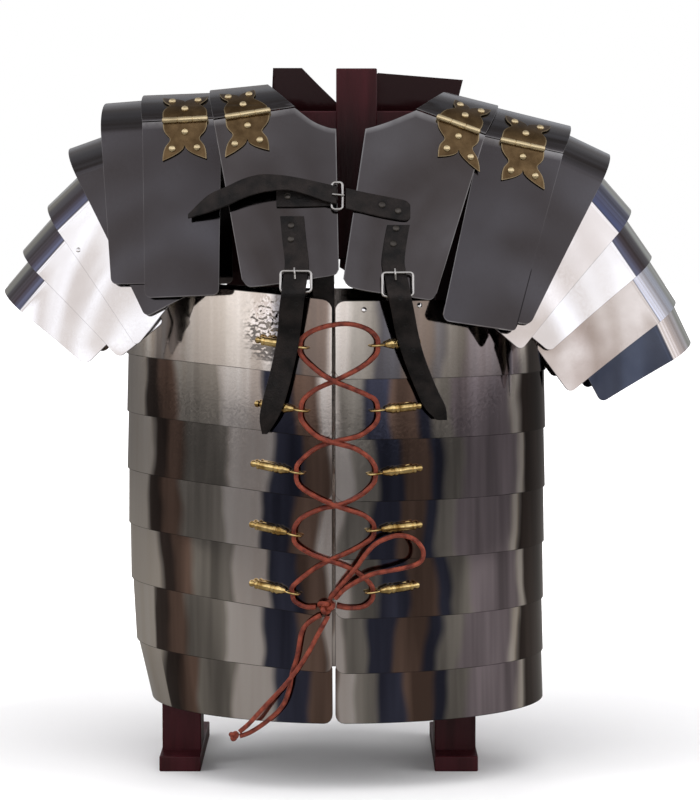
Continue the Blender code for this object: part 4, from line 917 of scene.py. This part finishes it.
# %% Back plates: top and bottom edge, from the spine outwards
BACK = {
    "left": {"collar": ((-1.0, 649.5, -1.5, 482.0), (-20.0, 668.0, -18.0, 474.0),
                        (-35.3, 683.6, -38.0, 468.0), (-64.3, 683.6, -66.0, 457.0)),
             "outer": ((-66.6, 637.0, -66.6, 457.0), (-89.0, 632.3, -88.0, 457.0),
                       (-112.0, 627.9, -109.0, 459.0), (-114.9, 627.4, -115.0, 466.0))},
    "right": {"collar": ((14.0, 657.7, 2.0, 482.0), (26.0, 668.0, 16.0, 474.0),
                         (41.0, 678.7, 38.0, 468.0), (126.3, 671.7, 72.0, 456.0)),
              "outer": ((93.6, 629.6, 72.6, 456.0), (115.0, 622.0, 92.0, 456.0),
                        (136.0, 614.5, 109.0, 458.0), (139.5, 613.1, 114.0, 465.0))},
}
for side, rows in BACK.items():
    edges = np.vstack([smooth_line(rows["collar"][:3], 5)[:-1], smooth_line(rows["collar"][2:], 8),
                       smooth_line(rows["outer"], 5)])
    neck_plate(f"back_{side}", edges, np.linspace(0, 1, 30), edges[3, 0], 1, collar_steel,
               f"back_plate_{side}")
print("back plates:", len(BACK))

# %% [markdown]
# ## Turned and bent metal
# A turned piece is a profile carried round an axis, and a wire is a circle carried along
# a path. Rivet heads are low domes. All three are small grids.

# %% Turned pieces, wires and rivets
def basis(direction):
    """A direction of length 1, and two more that are square to it and to each other."""
    direction = np.asarray(direction, float) / np.linalg.norm(direction)
    helper = np.array([0, 0, 1.0]) if abs(direction[2]) < 0.9 else np.array([1.0, 0, 0])
    across = np.cross(direction, helper)
    across /= np.linalg.norm(across)
    return direction, across, np.cross(direction, across)


def turned(start, direction, profile, sides=28):
    """Distance along and radius for each row of the profile, at even turns round the axis."""
    direction, across, other = basis(direction)
    profile = np.asarray(profile, float)
    turn = np.linspace(0, 2 * math.pi, sides, endpoint=False)[:, None]
    circle = across * np.cos(turn) + other * np.sin(turn)
    along = np.asarray(start) + direction * profile[:, :1]
    return tube(along[:, None] + circle * profile[:, 1][:, None, None])


def wire(path, radius, flat, closed=True, sides=12):
    """A circle along a path. flat is a direction square to the path's plane."""
    path = np.asarray(path, float)
    ahead = np.roll(path, -1, axis=0) - np.roll(path, 1, axis=0)
    if not closed:
        ahead = np.gradient(path, axis=0)
    ahead /= np.linalg.norm(ahead, axis=1)[:, None]
    outwards = np.cross(ahead, flat)
    outwards /= np.linalg.norm(outwards, axis=1)[:, None]
    upwards = np.cross(ahead, outwards)
    turn = np.linspace(0, 2 * math.pi, sides, endpoint=False)[:, None]
    circle = outwards[:, None] * np.cos(turn) + upwards[:, None] * np.sin(turn)
    return tube(path[:, None] + radius * circle, closed)


def rivet(place, normal, radius, height):
    """A domed head: radius r cos t at height h sin t, from a foot just inside the plate."""
    turn = np.radians([0, 12, 28, 46, 64, 80])
    dome = np.column_stack([height * np.sin(turn), radius * np.cos(turn)])
    return turned(place, normal, np.vstack([[-0.5, radius], dome]), 20)


# %% [markdown]
# ## Hinges
# Each hinge is a pair of brass leaves with a waist and two pointed lobes, a barrel of
# three knuckles on its pin, and three domed rivets in each leaf. The leaves follow the
# plates that they are riveted to.

# %% Hinges
# A leaf's edge: distance away from the pin and half width there
LEAF_EDGE = np.array([(0.3, 20.5), (4, 20.7), (8, 20.4), (11, 19.4), (14, 17.3), (16.5, 14.9), (18.5, 13.8),
                      (20.5, 14.2), (23, 16.2), (26, 18.4), (30, 19.8), (34, 20.5), (39.5, 20.8)])
LEAF_NOTCH, LEAF_TIP, LEAF_THICK, HINGE_GAP, LEAF_NEAR = 25.0, 39.5, 1.2, 1.0, 0.3
HINGE_MIDDLES = {"left": {1: 0.575, 2: 0.455}, "right": {1: 0.605, 2: 0.50}}
RIVET_ACROSS, RIVET_AWAY = np.array([0, -11.7, 11.7]), np.array([11.8, 28.0, 28.0])
HINGE_RIVET = {"radius": 3.5, "height": 2.5}
# The barrel along its pin: distance from its middle and radius
KNUCKLES = np.array([(-21.6, 1.2), (-21.3, 2.0), (-20.9, 2.3), (-20.8, 2.7), (-20.4, 2.9), (-7.6, 2.9),
                     (-7.2, 2.4), (-6.8, 2.4), (-6.4, 2.9), (6.4, 2.9), (6.8, 2.4), (7.2, 2.4), (7.6, 2.9),
                     (20.4, 2.9), (20.8, 2.7), (20.9, 2.3), (21.3, 2.0), (21.6, 1.2)])
PIN_HALF, KNUCKLE_RADIUS, PIN_LIFT, HINGE_INSIDE_DROP = 20.5, 2.9, 0.8, 40
# How much height a leaf loses for each millimetre down the plate, and how bare its rim is
FALL_BELOW_PIN, LEAF_RIM = 0.95, 0.35


def leaf_surface(row, line, strip, middle, up, side, across, away):
    """The plate's own surface at a distance across and away from the pin, in mm.

    Below the pin it is the hanging plate. Above it, it is the arch, with the turn found
    from the length along the arch.
    """
    shares = middle + across / math.dist(*line)
    base = between(line, shares)
    if not up:
        return on_layer(base - np.array([0, FALL_BELOW_PIN]) * away[..., None], strip, side)
    turns = np.radians(np.linspace(90, 5, 200))
    path = arch(between(row["crest"], [middle]), between(line, [middle]), strip, turns)[:, 0]
    along = np.concatenate([[0], np.cumsum(np.linalg.norm(np.diff(path, axis=0), axis=1))])
    turn = np.interp(away, along, turns)
    crest = between(row["crest"], shares)
    return on_layer(crest + (base - crest) * (1 - np.cos(turn))[..., None], strip, side * np.sin(turn))


def leaf_outline(columns, rows):
    """Across and away for a grid: the edge's half width times s, and t times the end's curve."""
    s, t = np.meshgrid(np.linspace(-1, 1, columns), np.linspace(0, 1, rows))
    reach = LEAF_NOTCH + (LEAF_TIP - LEAF_NOTCH) * np.abs(s) ** 0.55
    away = LEAF_NEAR + t * (reach - LEAF_NEAR)
    return s * np.interp(away, LEAF_EDGE[:, 0], LEAF_EDGE[:, 1]), away


def hinge(side_name, strip, behind):
    """Both leaves, the barrel and six rivets as one mesh."""
    row = HINGED[side_name][strip]
    side = 1 if behind else -1
    line = row["back"] if behind and "back" in row else row["hinge"]
    middle = 0.5 if behind else HINGE_MIDDLES[side_name][strip]
    parts, rims = [], []
    for up in (False, True):
        surface = leaf_surface(row, line, strip, middle, up, side, *leaf_outline(33, 40))
        inside = (surface[..., 0].mean(), 0, surface[..., 2].mean() - HINGE_INSIDE_DROP)
        normals = facing(surface)
        normals *= np.sign(((surface - inside) * normals).sum())
        outer = surface + normals * (HINGE_GAP + LEAF_THICK)
        parts.append(slab(outer, LEAF_THICK, inside, normals))
        rims.append(rim_values(outer) * LEAF_RIM)
        for spot in leaf_surface(row, line, strip, middle, up, side, RIVET_ACROSS, RIVET_AWAY):
            nearest = np.argmin(((surface - spot) ** 2).sum(-1))
            normal = normals.reshape(-1, 3)[nearest]
            parts.append(rivet(spot + normal * (HINGE_GAP + LEAF_THICK), normal, **HINGE_RIVET))
            rims.append(np.ones(len(parts[-1][0])))
    pin = PIN_HALF * np.array([-1, 0, 1])
    ends = leaf_surface(row, line, strip, middle, False, side, pin, np.full(3, LEAF_NEAR))
    centre = ends[1] + (0, side * (HINGE_GAP + KNUCKLE_RADIUS), PIN_LIFT)
    parts.append(turned(centre, ends[2] - ends[0], KNUCKLES, 20))
    rims.append(np.ones(len(parts[-1][0])))
    place = "back" if behind else "front"
    piece(f"butterfly_hinge_{side_name}_{strip}_{place}", merge(parts), aged_brass, "brass",
          [f"hinge_{side_name}_{strip}_{place}"], 0.25, rim=np.concatenate(rims))


for side in ("left", "right"):
    hinge(side, 1, False)
    hinge(side, 2, False)
    hinge(side, 1, True)
print("hinges: 6")

# %% [markdown]
# ## Tie fittings
# The lace runs through ten turned brass fittings. Each has a knob, a waisted shank with
# beads, and a ring, and stands on a short foot riveted through its hoop.

# %% Tie fittings: knob end and ring centre
FITTINGS = {
    "left": (((-74.7, 424.8), (-33.0, 418.5)), ((-75.6, 365.7), (-32.5, 360.0)),
             ((-79.5, 310.0), (-36.5, 302.5)), ((-80.9, 253.3), (-39.0, 244.5)),
             ((-81.1, 198.1), (-40.5, 190.0))),
    "right": (((78.2, 423.0), (38.7, 420.0)), ((79.5, 363.5), (38.7, 360.0)), ((80.4, 305.7), (36.5, 301.2)),
              ((80.5, 252.6), (35.1, 248.6)), ((77.8, 196.2), (34.2, 191.0))),
}
# The shank from the knob to the ring: distance along and radius
SHANK = np.array([(0, 0.5), (0.3, 1.6), (1.1, 2.7), (2.3, 3.3), (3.6, 3.3), (4.8, 2.7), (5.7, 2.3),
                  (6.3, 2.5), (6.6, 3.6), (7.0, 4.2), (8.2, 4.4), (9.2, 4.2), (9.5, 3.7), (10.2, 3.7),
                  (10.5, 4.0), (16.0, 4.1), (22.5, 4.0), (22.9, 3.6), (23.6, 3.6), (23.9, 4.2), (25.4, 4.6),
                  (26.8, 4.3), (27.2, 3.8), (28.0, 3.8), (28.4, 4.4), (29.8, 4.7), (31.2, 4.4), (32.0, 3.8),
                  (34.4, 3.3), (36.6, 2.6), (37.5, 1.9)])
FITTING_LIFT, RING_RADIUS, RING_LONG, RING_WIRE = 6.8, 4.7, 6.8, 1.1
FOOT_ALONG, FOOT_SINK = 14.0, 0.4


def hoop_front(x, z, number):
    """The hoop's own depth d sqrt(1 - (x / a)^2), less its lean at that height."""
    low, high = HOOP_EDGES[number][0], HOOP_EDGES[number - 1][0]
    extra = 0.0 if number == 1 else HOOP_OVERLAP
    lean = HOOP_LEAN * (z - low) / (high - low + extra)
    return (GIRDLE_DEPTH - lean) * np.sqrt(1 - (x / (GIRDLE_SIDE - lean)) ** 2)


for side, rows in FITTINGS.items():
    for number, ends in enumerate(rows, 1):
        knob, ring = [np.array([x, -(hoop_front(x, z, number) + FITTING_LIFT), z]) for x, z in ends]
        length = np.linalg.norm(ring - knob)
        direction = (ring - knob) / length
        across = np.cross(direction, (0, 0, 1.0))
        across /= np.linalg.norm(across)
        turn = np.linspace(0, 2 * math.pi, 28, endpoint=False)[:, None]
        loop = ring + RING_LONG * np.cos(turn) * direction + RING_RADIUS * np.sin(turn) * across
        foot = knob + direction * FOOT_ALONG
        seat = hoop_front(foot[0], foot[2], number) + FOOT_SINK
        foot_profile = [(0, 4.2), (0.7, 4.2), (1.1, 3.4), (1.6, 2.6), (-foot[1] - seat, 2.6)]
        shape = merge([turned(knob, direction, SHANK * ((length - RING_LONG) / SHANK[-1, 0], 1)),
                       wire(loop, RING_WIRE, np.cross(direction, across)),
                       turned((foot[0], -seat, foot[2]), (0, -1, 0), foot_profile, 18)])
        piece(f"lace_fitting_{side}_{number}", shape, bright_brass, "brass", [f"tie_fitting_{side}_{number}"])
print("tie fittings: 10")

# %% [markdown]
# ## Leather straps
# A strap is a rounded rectangle carried along its middle line. Its two long edges follow
# the leaning chest plates, so it lies flat on them, and it hangs free below the buckle.

# %% Straps
STRAP_HALF_THICK = 1.1
ALONG_X, ALONG_Z = (1, 0), (0, 1)


def strap_spot(kind, value, x, z):
    """A place lifted off the breast plate, set free at a depth, or kept behind the top hoop."""
    if kind == "front":
        return np.array([x, -value, z])
    if kind == "behind":
        return np.array([x, -(GIRDLE_DEPTH * math.sqrt(1 - (x / GIRDLE_SIDE) ** 2) - value), z])
    return np.array([x, -(float(chest_layer(np.float64(x), np.float64(z), 1)) + value), z])


def strap_lines(rows, wide):
    """The strap's two long edges as smooth lines, half its width to each side."""
    return [smooth_line([strap_spot(kind, value, x + way * wide[0] * half, z + way * wide[1] * half)
                         for x, z, kind, value, half in rows], 5) for way in (-1, 1)]


def strap(name, rows, wide, stands_for):
    """The section's place is a share across between the edges and a height off the middle."""
    first, second = strap_lines(rows, wide)
    middle = (first + second) / 2
    half = np.linalg.norm(second - first, axis=1)[:, None, None] / 2
    across = (second - first) / np.linalg.norm(second - first, axis=1)[:, None]
    up = np.cross(np.gradient(middle, axis=0), across)
    up /= np.linalg.norm(up, axis=1)[:, None]
    turn = np.radians(np.arange(0, 360, 18) + 9)
    side_share = np.sign(np.cos(turn)) * np.abs(np.cos(turn)) ** 0.12
    height = STRAP_HALF_THICK * np.sign(np.sin(turn)) * np.abs(np.sin(turn)) ** 0.5
    grid = middle[:, None] + across[:, None] * half * side_share[:, None] + up[:, None] * height[:, None]
    outward(piece(name, tube(grid), strap_leather, "black_leather", [stands_for]))


def outward(item):
    """Turns a closed mesh's faces outwards if its volume comes out negative."""
    mesh = item.data
    mesh.calc_loop_triangles()
    points = np.empty(len(mesh.vertices) * 3)
    mesh.vertices.foreach_get("co", points)
    corners = np.empty(len(mesh.loop_triangles) * 3, int)
    mesh.loop_triangles.foreach_get("vertices", corners)
    triangles = points.reshape(-1, 3)[corners.reshape(-1, 3)]
    if np.linalg.det(triangles).sum() < 0:
        mesh.flip_normals()
    return item


# %% Strap tables: x, height, how its depth is set, that depth, and half width
HANGING = {
    "left": (
        (-40.5, 538, "lift", 1.75, 11), (-38.5, 518, "lift", 1.75, 11), (-36, 498, "lift", 1.75, 11),
        (-36.3, 489, "lift", 1.75, 11), (-37.3, 481, "lift", 3.1, 11), (-38, 474.5, "lift", 5.6, 11),
        (-39, 467.5, "front", 170.2, 11), (-41, 452, "front", 165, 11), (-43, 432, "front", 157, 10.5),
        (-46.5, 412, "front", 154.3, 10.5), (-51, 392, "front", 153, 10.5), (-57, 370, "front", 152.8, 10.5),
        (-62, 353, "front", 151, 8.5), (-66, 338, "front", 145.5, 2.5),
    ),
    "right": (
        (57.5, 530, "lift", 1.85, 10.5), (54.5, 514, "lift", 1.85, 10.5), (52.5, 498, "lift", 1.85, 10.5),
        (53.5, 489, "lift", 1.85, 10.5), (55.5, 480, "lift", 2.8, 10.5), (57, 472, "lift", 6, 10.5),
        (58.5, 464.5, "front", 169.8, 10.5), (61.5, 450, "front", 163.5, 10.5), (65, 432, "front", 154, 10.5),
        (70, 414, "front", 151.5, 10), (76.5, 396, "front", 146, 10), (83.5, 379, "front", 141, 10),
        (91.5, 362, "front", 138.5, 10), (98, 350, "front", 135, 5),
    ),
}
CROSS = {
    "left": (
        (-55, 555, "lift", 1.5, 8.5), (-40, 555, "lift", 1.5, 8.5), (-24, 555.5, "lift", 1.5, 8.5),
        (-10, 556, "lift", 1.5, 8.5), (-3.8, 556.5, "lift", 1.5, 8.5), (-1.3, 557, "lift", 2, 8.3),
        (-0.2, 557, "lift", 3.4, 8.2), (-0.2, 557.5, "lift", 5.2, 8.2), (-1.3, 558, "lift", 6.7, 8.2),
        (-3.8, 558.5, "lift", 7.3, 8.2), (-12, 560.5, "lift", 8, 8), (-27.5, 565, "lift", 10, 7),
        (-44, 568.5, "lift", 12, 6.5), (-58, 569, "lift", 13, 7.5), (-70, 568, "lift", 13, 8.5),
        (-84.5, 564, "lift", 12, 9), (-101, 556.5, "lift", 9.5, 9), (-119, 549, "lift", 6, 8),
        (-137, 538, "lift", 3, 2),
    ),
    "right": (
        (8.9, 554.5, "lift", 4.2, 9.5), (14, 553.5, "lift", 3.2, 9.5), (22, 551.5, "lift", 1.75, 9.5),
        (38, 548, "lift", 1.75, 9.8), (56, 544.5, "lift", 1.75, 9.8), (65, 543, "lift", 1.75, 9),
        (68.5, 542.5, "lift", 1.75, 6),
    ),
}
TABS = {
    "left": (
        (-36.5, 438, "behind", 5.6, 8), (-36.5, 455, "behind", 5.6, 8), (-36.5, 466.6, "behind", 5.6, 8),
        (-36.5, 467.5, "front", 142.5, 8), (-36.5, 467.4, "front", 152, 9), (-36.5, 467.1, "front", 163, 10),
    ),
    "right": (
        (56, 436, "behind", 5.6, 10), (56, 452, "behind", 5.6, 10), (56, 461.7, "behind", 5.6, 9),
        (56, 462.9, "front", 139.5, 9), (56, 463, "front", 149, 10), (56, 462.6, "front", 160.6, 10),
    ),
}
INNER_TAB = (
    (-11.5, 440, "behind", 5.6, 10), (-11.5, 462, "behind", 5.6, 10), (-11.5, 478, "front", 147, 10),
    (-11.5, 500, "front", 149.3, 9.5),
)
for side in ("left", "right"):
    strap(f"hanging_leather_{side}", HANGING[side], ALONG_X, f"hanging_strap_{side}")
    strap(f"cross_leather_{side}", CROSS[side], ALONG_Z, f"cross_strap_{side}")
    strap(f"tab_leather_{side}", TABS[side], ALONG_X, f"buckle_tab_{side}")
strap("inner_leather", INNER_TAB, ALONG_X, "inner_tab")
print("straps: 7")

# %% [markdown]
# ## Rivets, holes and buckles
# The straps are riveted to the breast plates with dark domed rivets, two on each. The
# free ends have punched holes. The buckles are plain wire frames with a prong.

# %% Rivets and holes on the straps
def on_strap(lines, x, z):
    """The strap's face at x and z, on the flat through the nearest row, and its normal."""
    first, second = lines
    middle = (first + second) / 2
    nearest = int(np.argmin((middle[:, 0] - x) ** 2 + (middle[:, 2] - z) ** 2))
    normal = np.cross(np.gradient(middle, axis=0)[nearest], second[nearest] - first[nearest])
    normal /= -np.linalg.norm(normal) * np.sign(normal[1])
    offset = (x - middle[nearest, 0]) * normal[0] + (z - middle[nearest, 2]) * normal[2]
    return np.array([x, middle[nearest, 1] - offset / normal[1], z]) + normal * STRAP_HALF_THICK, normal


# A punched hole's rim: height off the strap and radius
HOLE = ((-0.5, 2.0), (0.12, 2.0), (0.16, 1.8), (-0.1, 1.3))
STRAP_RIVET = {"radius": 3.3, "height": 1.5}
STRAP_SPOTS = (
    (HANGING["left"], ALONG_X, ((-41.2, 529.7), (-41.3, 517.0)),
     ((-35.9, 459.2), (-40.9, 434.0), (-47.9, 410.1), (-55.7, 384.7))),
    (HANGING["right"], ALONG_X, ((55.1, 526.8), (52.6, 512.8)),
     ((59.1, 464.1), (64.1, 439.6), (71.1, 415.7), (78.9, 394.5))),
    (CROSS["left"][:5], ALONG_Z, ((-44.6, 556.1),), ()),
    (CROSS["left"][9:], ALONG_Z, (), ((-96.9, 559.0), (-48.6, 568.6), (-24.3, 564.0))),
    (CROSS["right"], ALONG_Z, ((42.3, 548.2), (57.1, 542.9)), ()),
)
rivets, holes = [], []
for rows, wide, rivet_spots, hole_spots in STRAP_SPOTS:
    long_edges = strap_lines(rows, wide)
    rivets += [rivet(*on_strap(long_edges, x, z), **STRAP_RIVET) for x, z in rivet_spots]
    holes += [turned(*on_strap(long_edges, x, z), HOLE, 16) for x, z in hole_spots]
outward(piece("strap_rivets", merge(rivets), dark_rivet, "nickel", []))
# Each hole is a dark plug, painted shade in place of an opening.
outward(piece("strap_holes", merge(holes), hole_shade, "black_leather", []))
print("strap rivets:", len(rivets), "and holes:", len(holes))

# %% Buckles: centre, half width, half height, and the lift at the top and the bottom
BUCKLES = {
    "left": (-36.5, 479.3, 14.0, 9.3, 4.9, 2.0),
    "right": (56.5, 476.6, 14.0, 10.6, 5.2, 2.1),
    "centre": (1.1, 557.0, 4.9, 12.3, 4.3, 4.3),
}
PRONGS = {
    "left": ((-38.0, 491.5, 6.6), (-37.8, 488.6, 7.4), (-37.5, 485.0, 6.0), (-37.3, 481.6, 4.6)),
    "right": ((54.0, 490.6, 6.8), (54.2, 487.2, 7.7), (54.5, 483.5, 6.2), (54.8, 480.6, 4.6)),
    "centre": ((7.4, 557.6, 6.4), (4.2, 557.8, 7.2), (0.4, 558.2, 9.4), (-3.4, 558.6, 9.9)),
}
BUCKLE_CORNER, BUCKLE_WIRE, PRONG_WIRE = 3.0, 1.3, 0.9
# The four quarters of a rounded frame: the signs of its corner's x and z, and seven turns in each
QUARTERS = np.repeat([(1, 1), (-1, 1), (-1, -1), (1, -1)], 7, axis=0)
QUARTER_TURNS = np.radians(np.concatenate([begins + np.linspace(0, 90, 7) for begins in (0, 90, 180, 270)]))
for name, (x, z, wide, high, top, low) in BUCKLES.items():
    px = x + QUARTERS[:, 0] * (wide - BUCKLE_CORNER) + BUCKLE_CORNER * np.cos(QUARTER_TURNS)
    pz = z + QUARTERS[:, 1] * (high - BUCKLE_CORNER) + BUCKLE_CORNER * np.sin(QUARTER_TURNS)
    lift = (top + low) / 2 + (pz - z) / high * (top - low) / 2
    loop = np.stack([px, -(chest_layer(px, pz, 1) + lift), pz], axis=1)
    prong = smooth_line([strap_spot("lift", up, px, pz) for px, pz, up in PRONGS[name]], 5)
    flat = (0, 0, 1.0) if name == "centre" else (1.0, 0, 0)
    shape = merge([wire(loop, BUCKLE_WIRE, (0, -1.0, 0.3)), wire(prong, PRONG_WIRE, flat, False)])
    outward(piece(f"wire_buckle_{name}", shape, wire_nickel, "nickel", [f"buckle_{name}"]))
print("buckles:", len(BUCKLES))

# %% Small rivets on the top hoop and on an arm strip
spots = []
for x, z in ((25.8, 452.3), (77.3, 456.0)):
    front = hoop_front(x, z, 1)
    normal = np.array([x / GIRDLE_SIDE**2, -front / GIRDLE_DEPTH**2, 0])
    spots.append(rivet((x, -front, z), normal, 2.6, 1.1))
spots.append(rivet(on_layer(np.array([-243.3, 506.2]), 5, -1), (-0.4, -1, 0.3), 2.4, 1.0))
outward(piece("plate_rivets", merge(spots), arm_steel, "bright_steel", []))
print("plate rivets:", len(spots))

# %% [markdown]
# ## The lace's knots
# A knot is drawn as a trefoil: a closed line that passes through itself three times. Its
# tube is as thick as the lace, so it reads as a small lump of wrapped leather.

# %% Knots and the lace's finish
KNOTS = {
    "lace_knot": ((-9.0, 177.6, 153.0), (9.2, 7.6, 5.6), 2.3),
    "lace_end_knot": ((-95.3, 55.5, 149.2), (5.2, 5.2, 4.2), 1.9),
}


def trefoil(place, size, radius):
    """x = sin t + 2 sin 2t, z = cos t - 2 cos 2t and y = -sin 3t, scaled to the size."""
    t = np.linspace(0, 2 * math.pi, 90, endpoint=False)
    x = (np.sin(t) + 2 * np.sin(2 * t)) / 3 * (size[0] - radius)
    z = (np.cos(t) - 2 * np.cos(2 * t)) / 3 * (size[1] - radius)
    y = -np.sin(3 * t) * (size[2] - radius)
    path = np.stack([place[0] + x, -place[2] + y, place[1] + z], axis=1)
    return wire(path, radius, (0, 1.0, 0))


knots = {}
for name, (place, size, radius) in KNOTS.items():
    knots[name] = piece(f"{name}_leather", trefoil(place, size, radius), lace_leather, "red_leather", [name])
    outward(knots[name])
for key, (item, length, exit_point) in stretches.items():
    item.data.materials.append(lace_leather)
    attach(item, "root")
    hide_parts(f"lace_{key}")
print("lace declared:", len(stretches), "stretches")

# %% [markdown]
# ## The stand
# The stand is plain painted timber: two legs on runners, a shaped board that the
# shoulder plates rest on, and a post that stands up in the neck.

# %% Stand
def prism(outline, near, far):
    """An outline in x and z carried along y, with its two ends closed."""
    outline = np.asarray(outline, float)
    count = len(outline)
    points = np.concatenate([np.insert(outline, 1, y, axis=1) for y in (near, far)])
    index = np.arange(count)
    ahead = (index + 1) % count
    sides = np.stack([ahead, index, index + count, ahead + count], axis=1).tolist()
    return points, [index.tolist(), (index[::-1] + count).tolist()] + sides


BOARD = ((-200.0, 644.9), (-66.0, 655.4), (-54.0, 638.0), (88.0, 638.0), (100.0, 654.9),
         (213.0, 618.0), (213.0, 584.0), (-200.0, 606.0))


def upright(left, right, low, high):
    """The outline of a board that stands square."""
    return ((left, low), (right, low), (right, high), (left, high))


timber = [prism(BOARD, -12, 12), prism(upright(-0.5, 38.9, 495, 678.9), -14, 14)]
for left, right in ((-171, -133), (96, 136)):
    timber.append(prism(upright(left, right, 5, 604), -25, 25))
    timber.append(prism(upright(left - 1, right + 1, 0, 15), -55, 110))
piece("timber_stand", merge(timber), stand_wood, "painted_wood", ["stand"], 1.2)
print("stand: one piece of", len(timber), "timbers")

# %% [markdown]
# ## Floor and light
# A wide pale floor lies in a plain bright room. Steel shows what is around it, so the
# light is a bright soft ceiling and sides with a darker, streaky band at eye level in
# front, which the hoops draw out into upright streaks.

# %% Floor: rings from the middle outwards, which fade into the white room for the camera
RING_RADII, RING_AWAY, RING_SIDES = (0.0, 0.45, 1.1, 3.5, 12.0), (0.0, 0.0, 1.0, 1.0, 1.0), 64
FLOOR_DARK = (0.17, 0.16, 0.145)
turn = np.linspace(0, 2 * math.pi, RING_SIDES, endpoint=False)
circle = np.stack([np.cos(turn), np.sin(turn), 0 * turn], axis=-1)
grid = np.array(RING_RADII)[:, None, None] * circle
floor_finish, tree, shader, place = new_finish("pale floor")
ray = add_node(tree, "LightPath").outputs
shade = mixed(tree, ray["Is Glossy Ray"], (0.86, 0.86, 0.86), FLOOR_DARK)
fading = reckon(tree, "MULTIPLY", mark_value(tree, "away"), ray["Is Camera Ray"])
feed(tree, shader, {"Base Color": shade, "Roughness": 0.7, "Emission Color": fading,
                    "Emission Strength": 0.9})
mesh_object("floor", grid.reshape(-1, 3), ring_quads(len(grid), RING_SIDES).tolist(), floor_finish,
                     {"away": np.repeat(RING_AWAY, RING_SIDES)})
print("floor:", grid.shape[0], "rings")

# %% Room light: a gradient by height, with streaks round the horizon
# Places from straight down, 0, to straight up, 1
ROOM_TONES = ((0.455, FLOOR_DARK), (0.478, (0.26, 0.24, 0.22)), (0.505, (0.95, 0.92, 0.88)),
              (0.60, (1.15, 1.15, 1.18)), (0.80, (1.0, 1.0, 1.03)), (0.88, (0.74, 0.73, 0.75)),
              (0.94, (0.46, 0.45, 0.44)), (0.98, (0.42, 0.41, 0.40)))
world = bpy.data.worlds.new("room")
bpy.context.scene.world = world
world.use_nodes = True
tree = world.node_tree
around = add_node(tree, "TexCoord").outputs["Generated"]
toward = add_node(tree, "SeparateXYZ", {"Vector": around}).outputs
half_up = add_node(tree, "MapRange", {"Value": toward["Z"], "From Min": -1.0, "From Max": 1.0})
rear = add_node(tree, "MapRange", {"Value": toward["Y"], "From Min": 0.1, "From Max": 0.7, "To Min": 1.0,
                                   "To Max": 0.32})
by_height = tone_ramp(tree, half_up, ROOM_TONES)
dimmed = add_node(tree, "VectorMath", operation="SCALE")
feed(tree, dimmed, {0: by_height, "Scale": rear})
stretched = add_node(tree, "Mapping", {"Vector": around, "Scale": (2.2, 2.2, 0.25)})
band = add_node(tree, "Group", node_tree=streaks)
feed(tree, band, {"Vector": stretched, "Scale": 2.6, "Sharpness": 4.0, "Low": (0.72, 0.67, 0.64),
                  "High": (1.30, 1.33, 1.39)})
room = mixed(tree, 1.0, dimmed, band, "MULTIPLY")
plain = mixed(tree, add_node(tree, "LightPath").outputs["Is Camera Ray"], room, (1, 1, 1))
feed(tree, tree.nodes["Background"], {"Color": plain, "Strength": 1.0})
print("room light:", len(tree.nodes), "nodes")


# %% Soft lamps
def soft_lamp(name, place, aim, size, power):
    """An area light that points from its place to its aim, and doesn't show in the steel."""
    data = bpy.data.lights.new(name, "AREA")
    data.shape = "RECTANGLE"
    data.size, data.size_y = size
    data.energy = power
    lamp = put_in_scene(name, data)
    lamp.location = place
    along = np.array(aim, float) - np.array(place, float)
    flat = math.hypot(along[0], along[1])
    lamp.rotation_euler = (math.atan2(flat, -along[2]), 0, math.atan2(along[1], along[0]) - math.pi / 2)
    lamp.visible_glossy = False


soft_lamp("ceiling", (0, -0.6, 2.6), (0, 0, 0.5), (2.4, 1.8), 46)
soft_lamp("left side", (-1.9, -0.9, 1.0), (0, 0, 0.4), (0.5, 1.6), 16)
soft_lamp("right side", (1.9, -0.7, 1.0), (0, 0, 0.4), (0.7, 1.6), 16)
soft_lamp("behind", (0, 2.2, 1.6), (0, 0, 0.4), (1.6, 1.0), 18)
bpy.context.scene.view_settings.view_transform = "Standard"
print("lamps: 4")
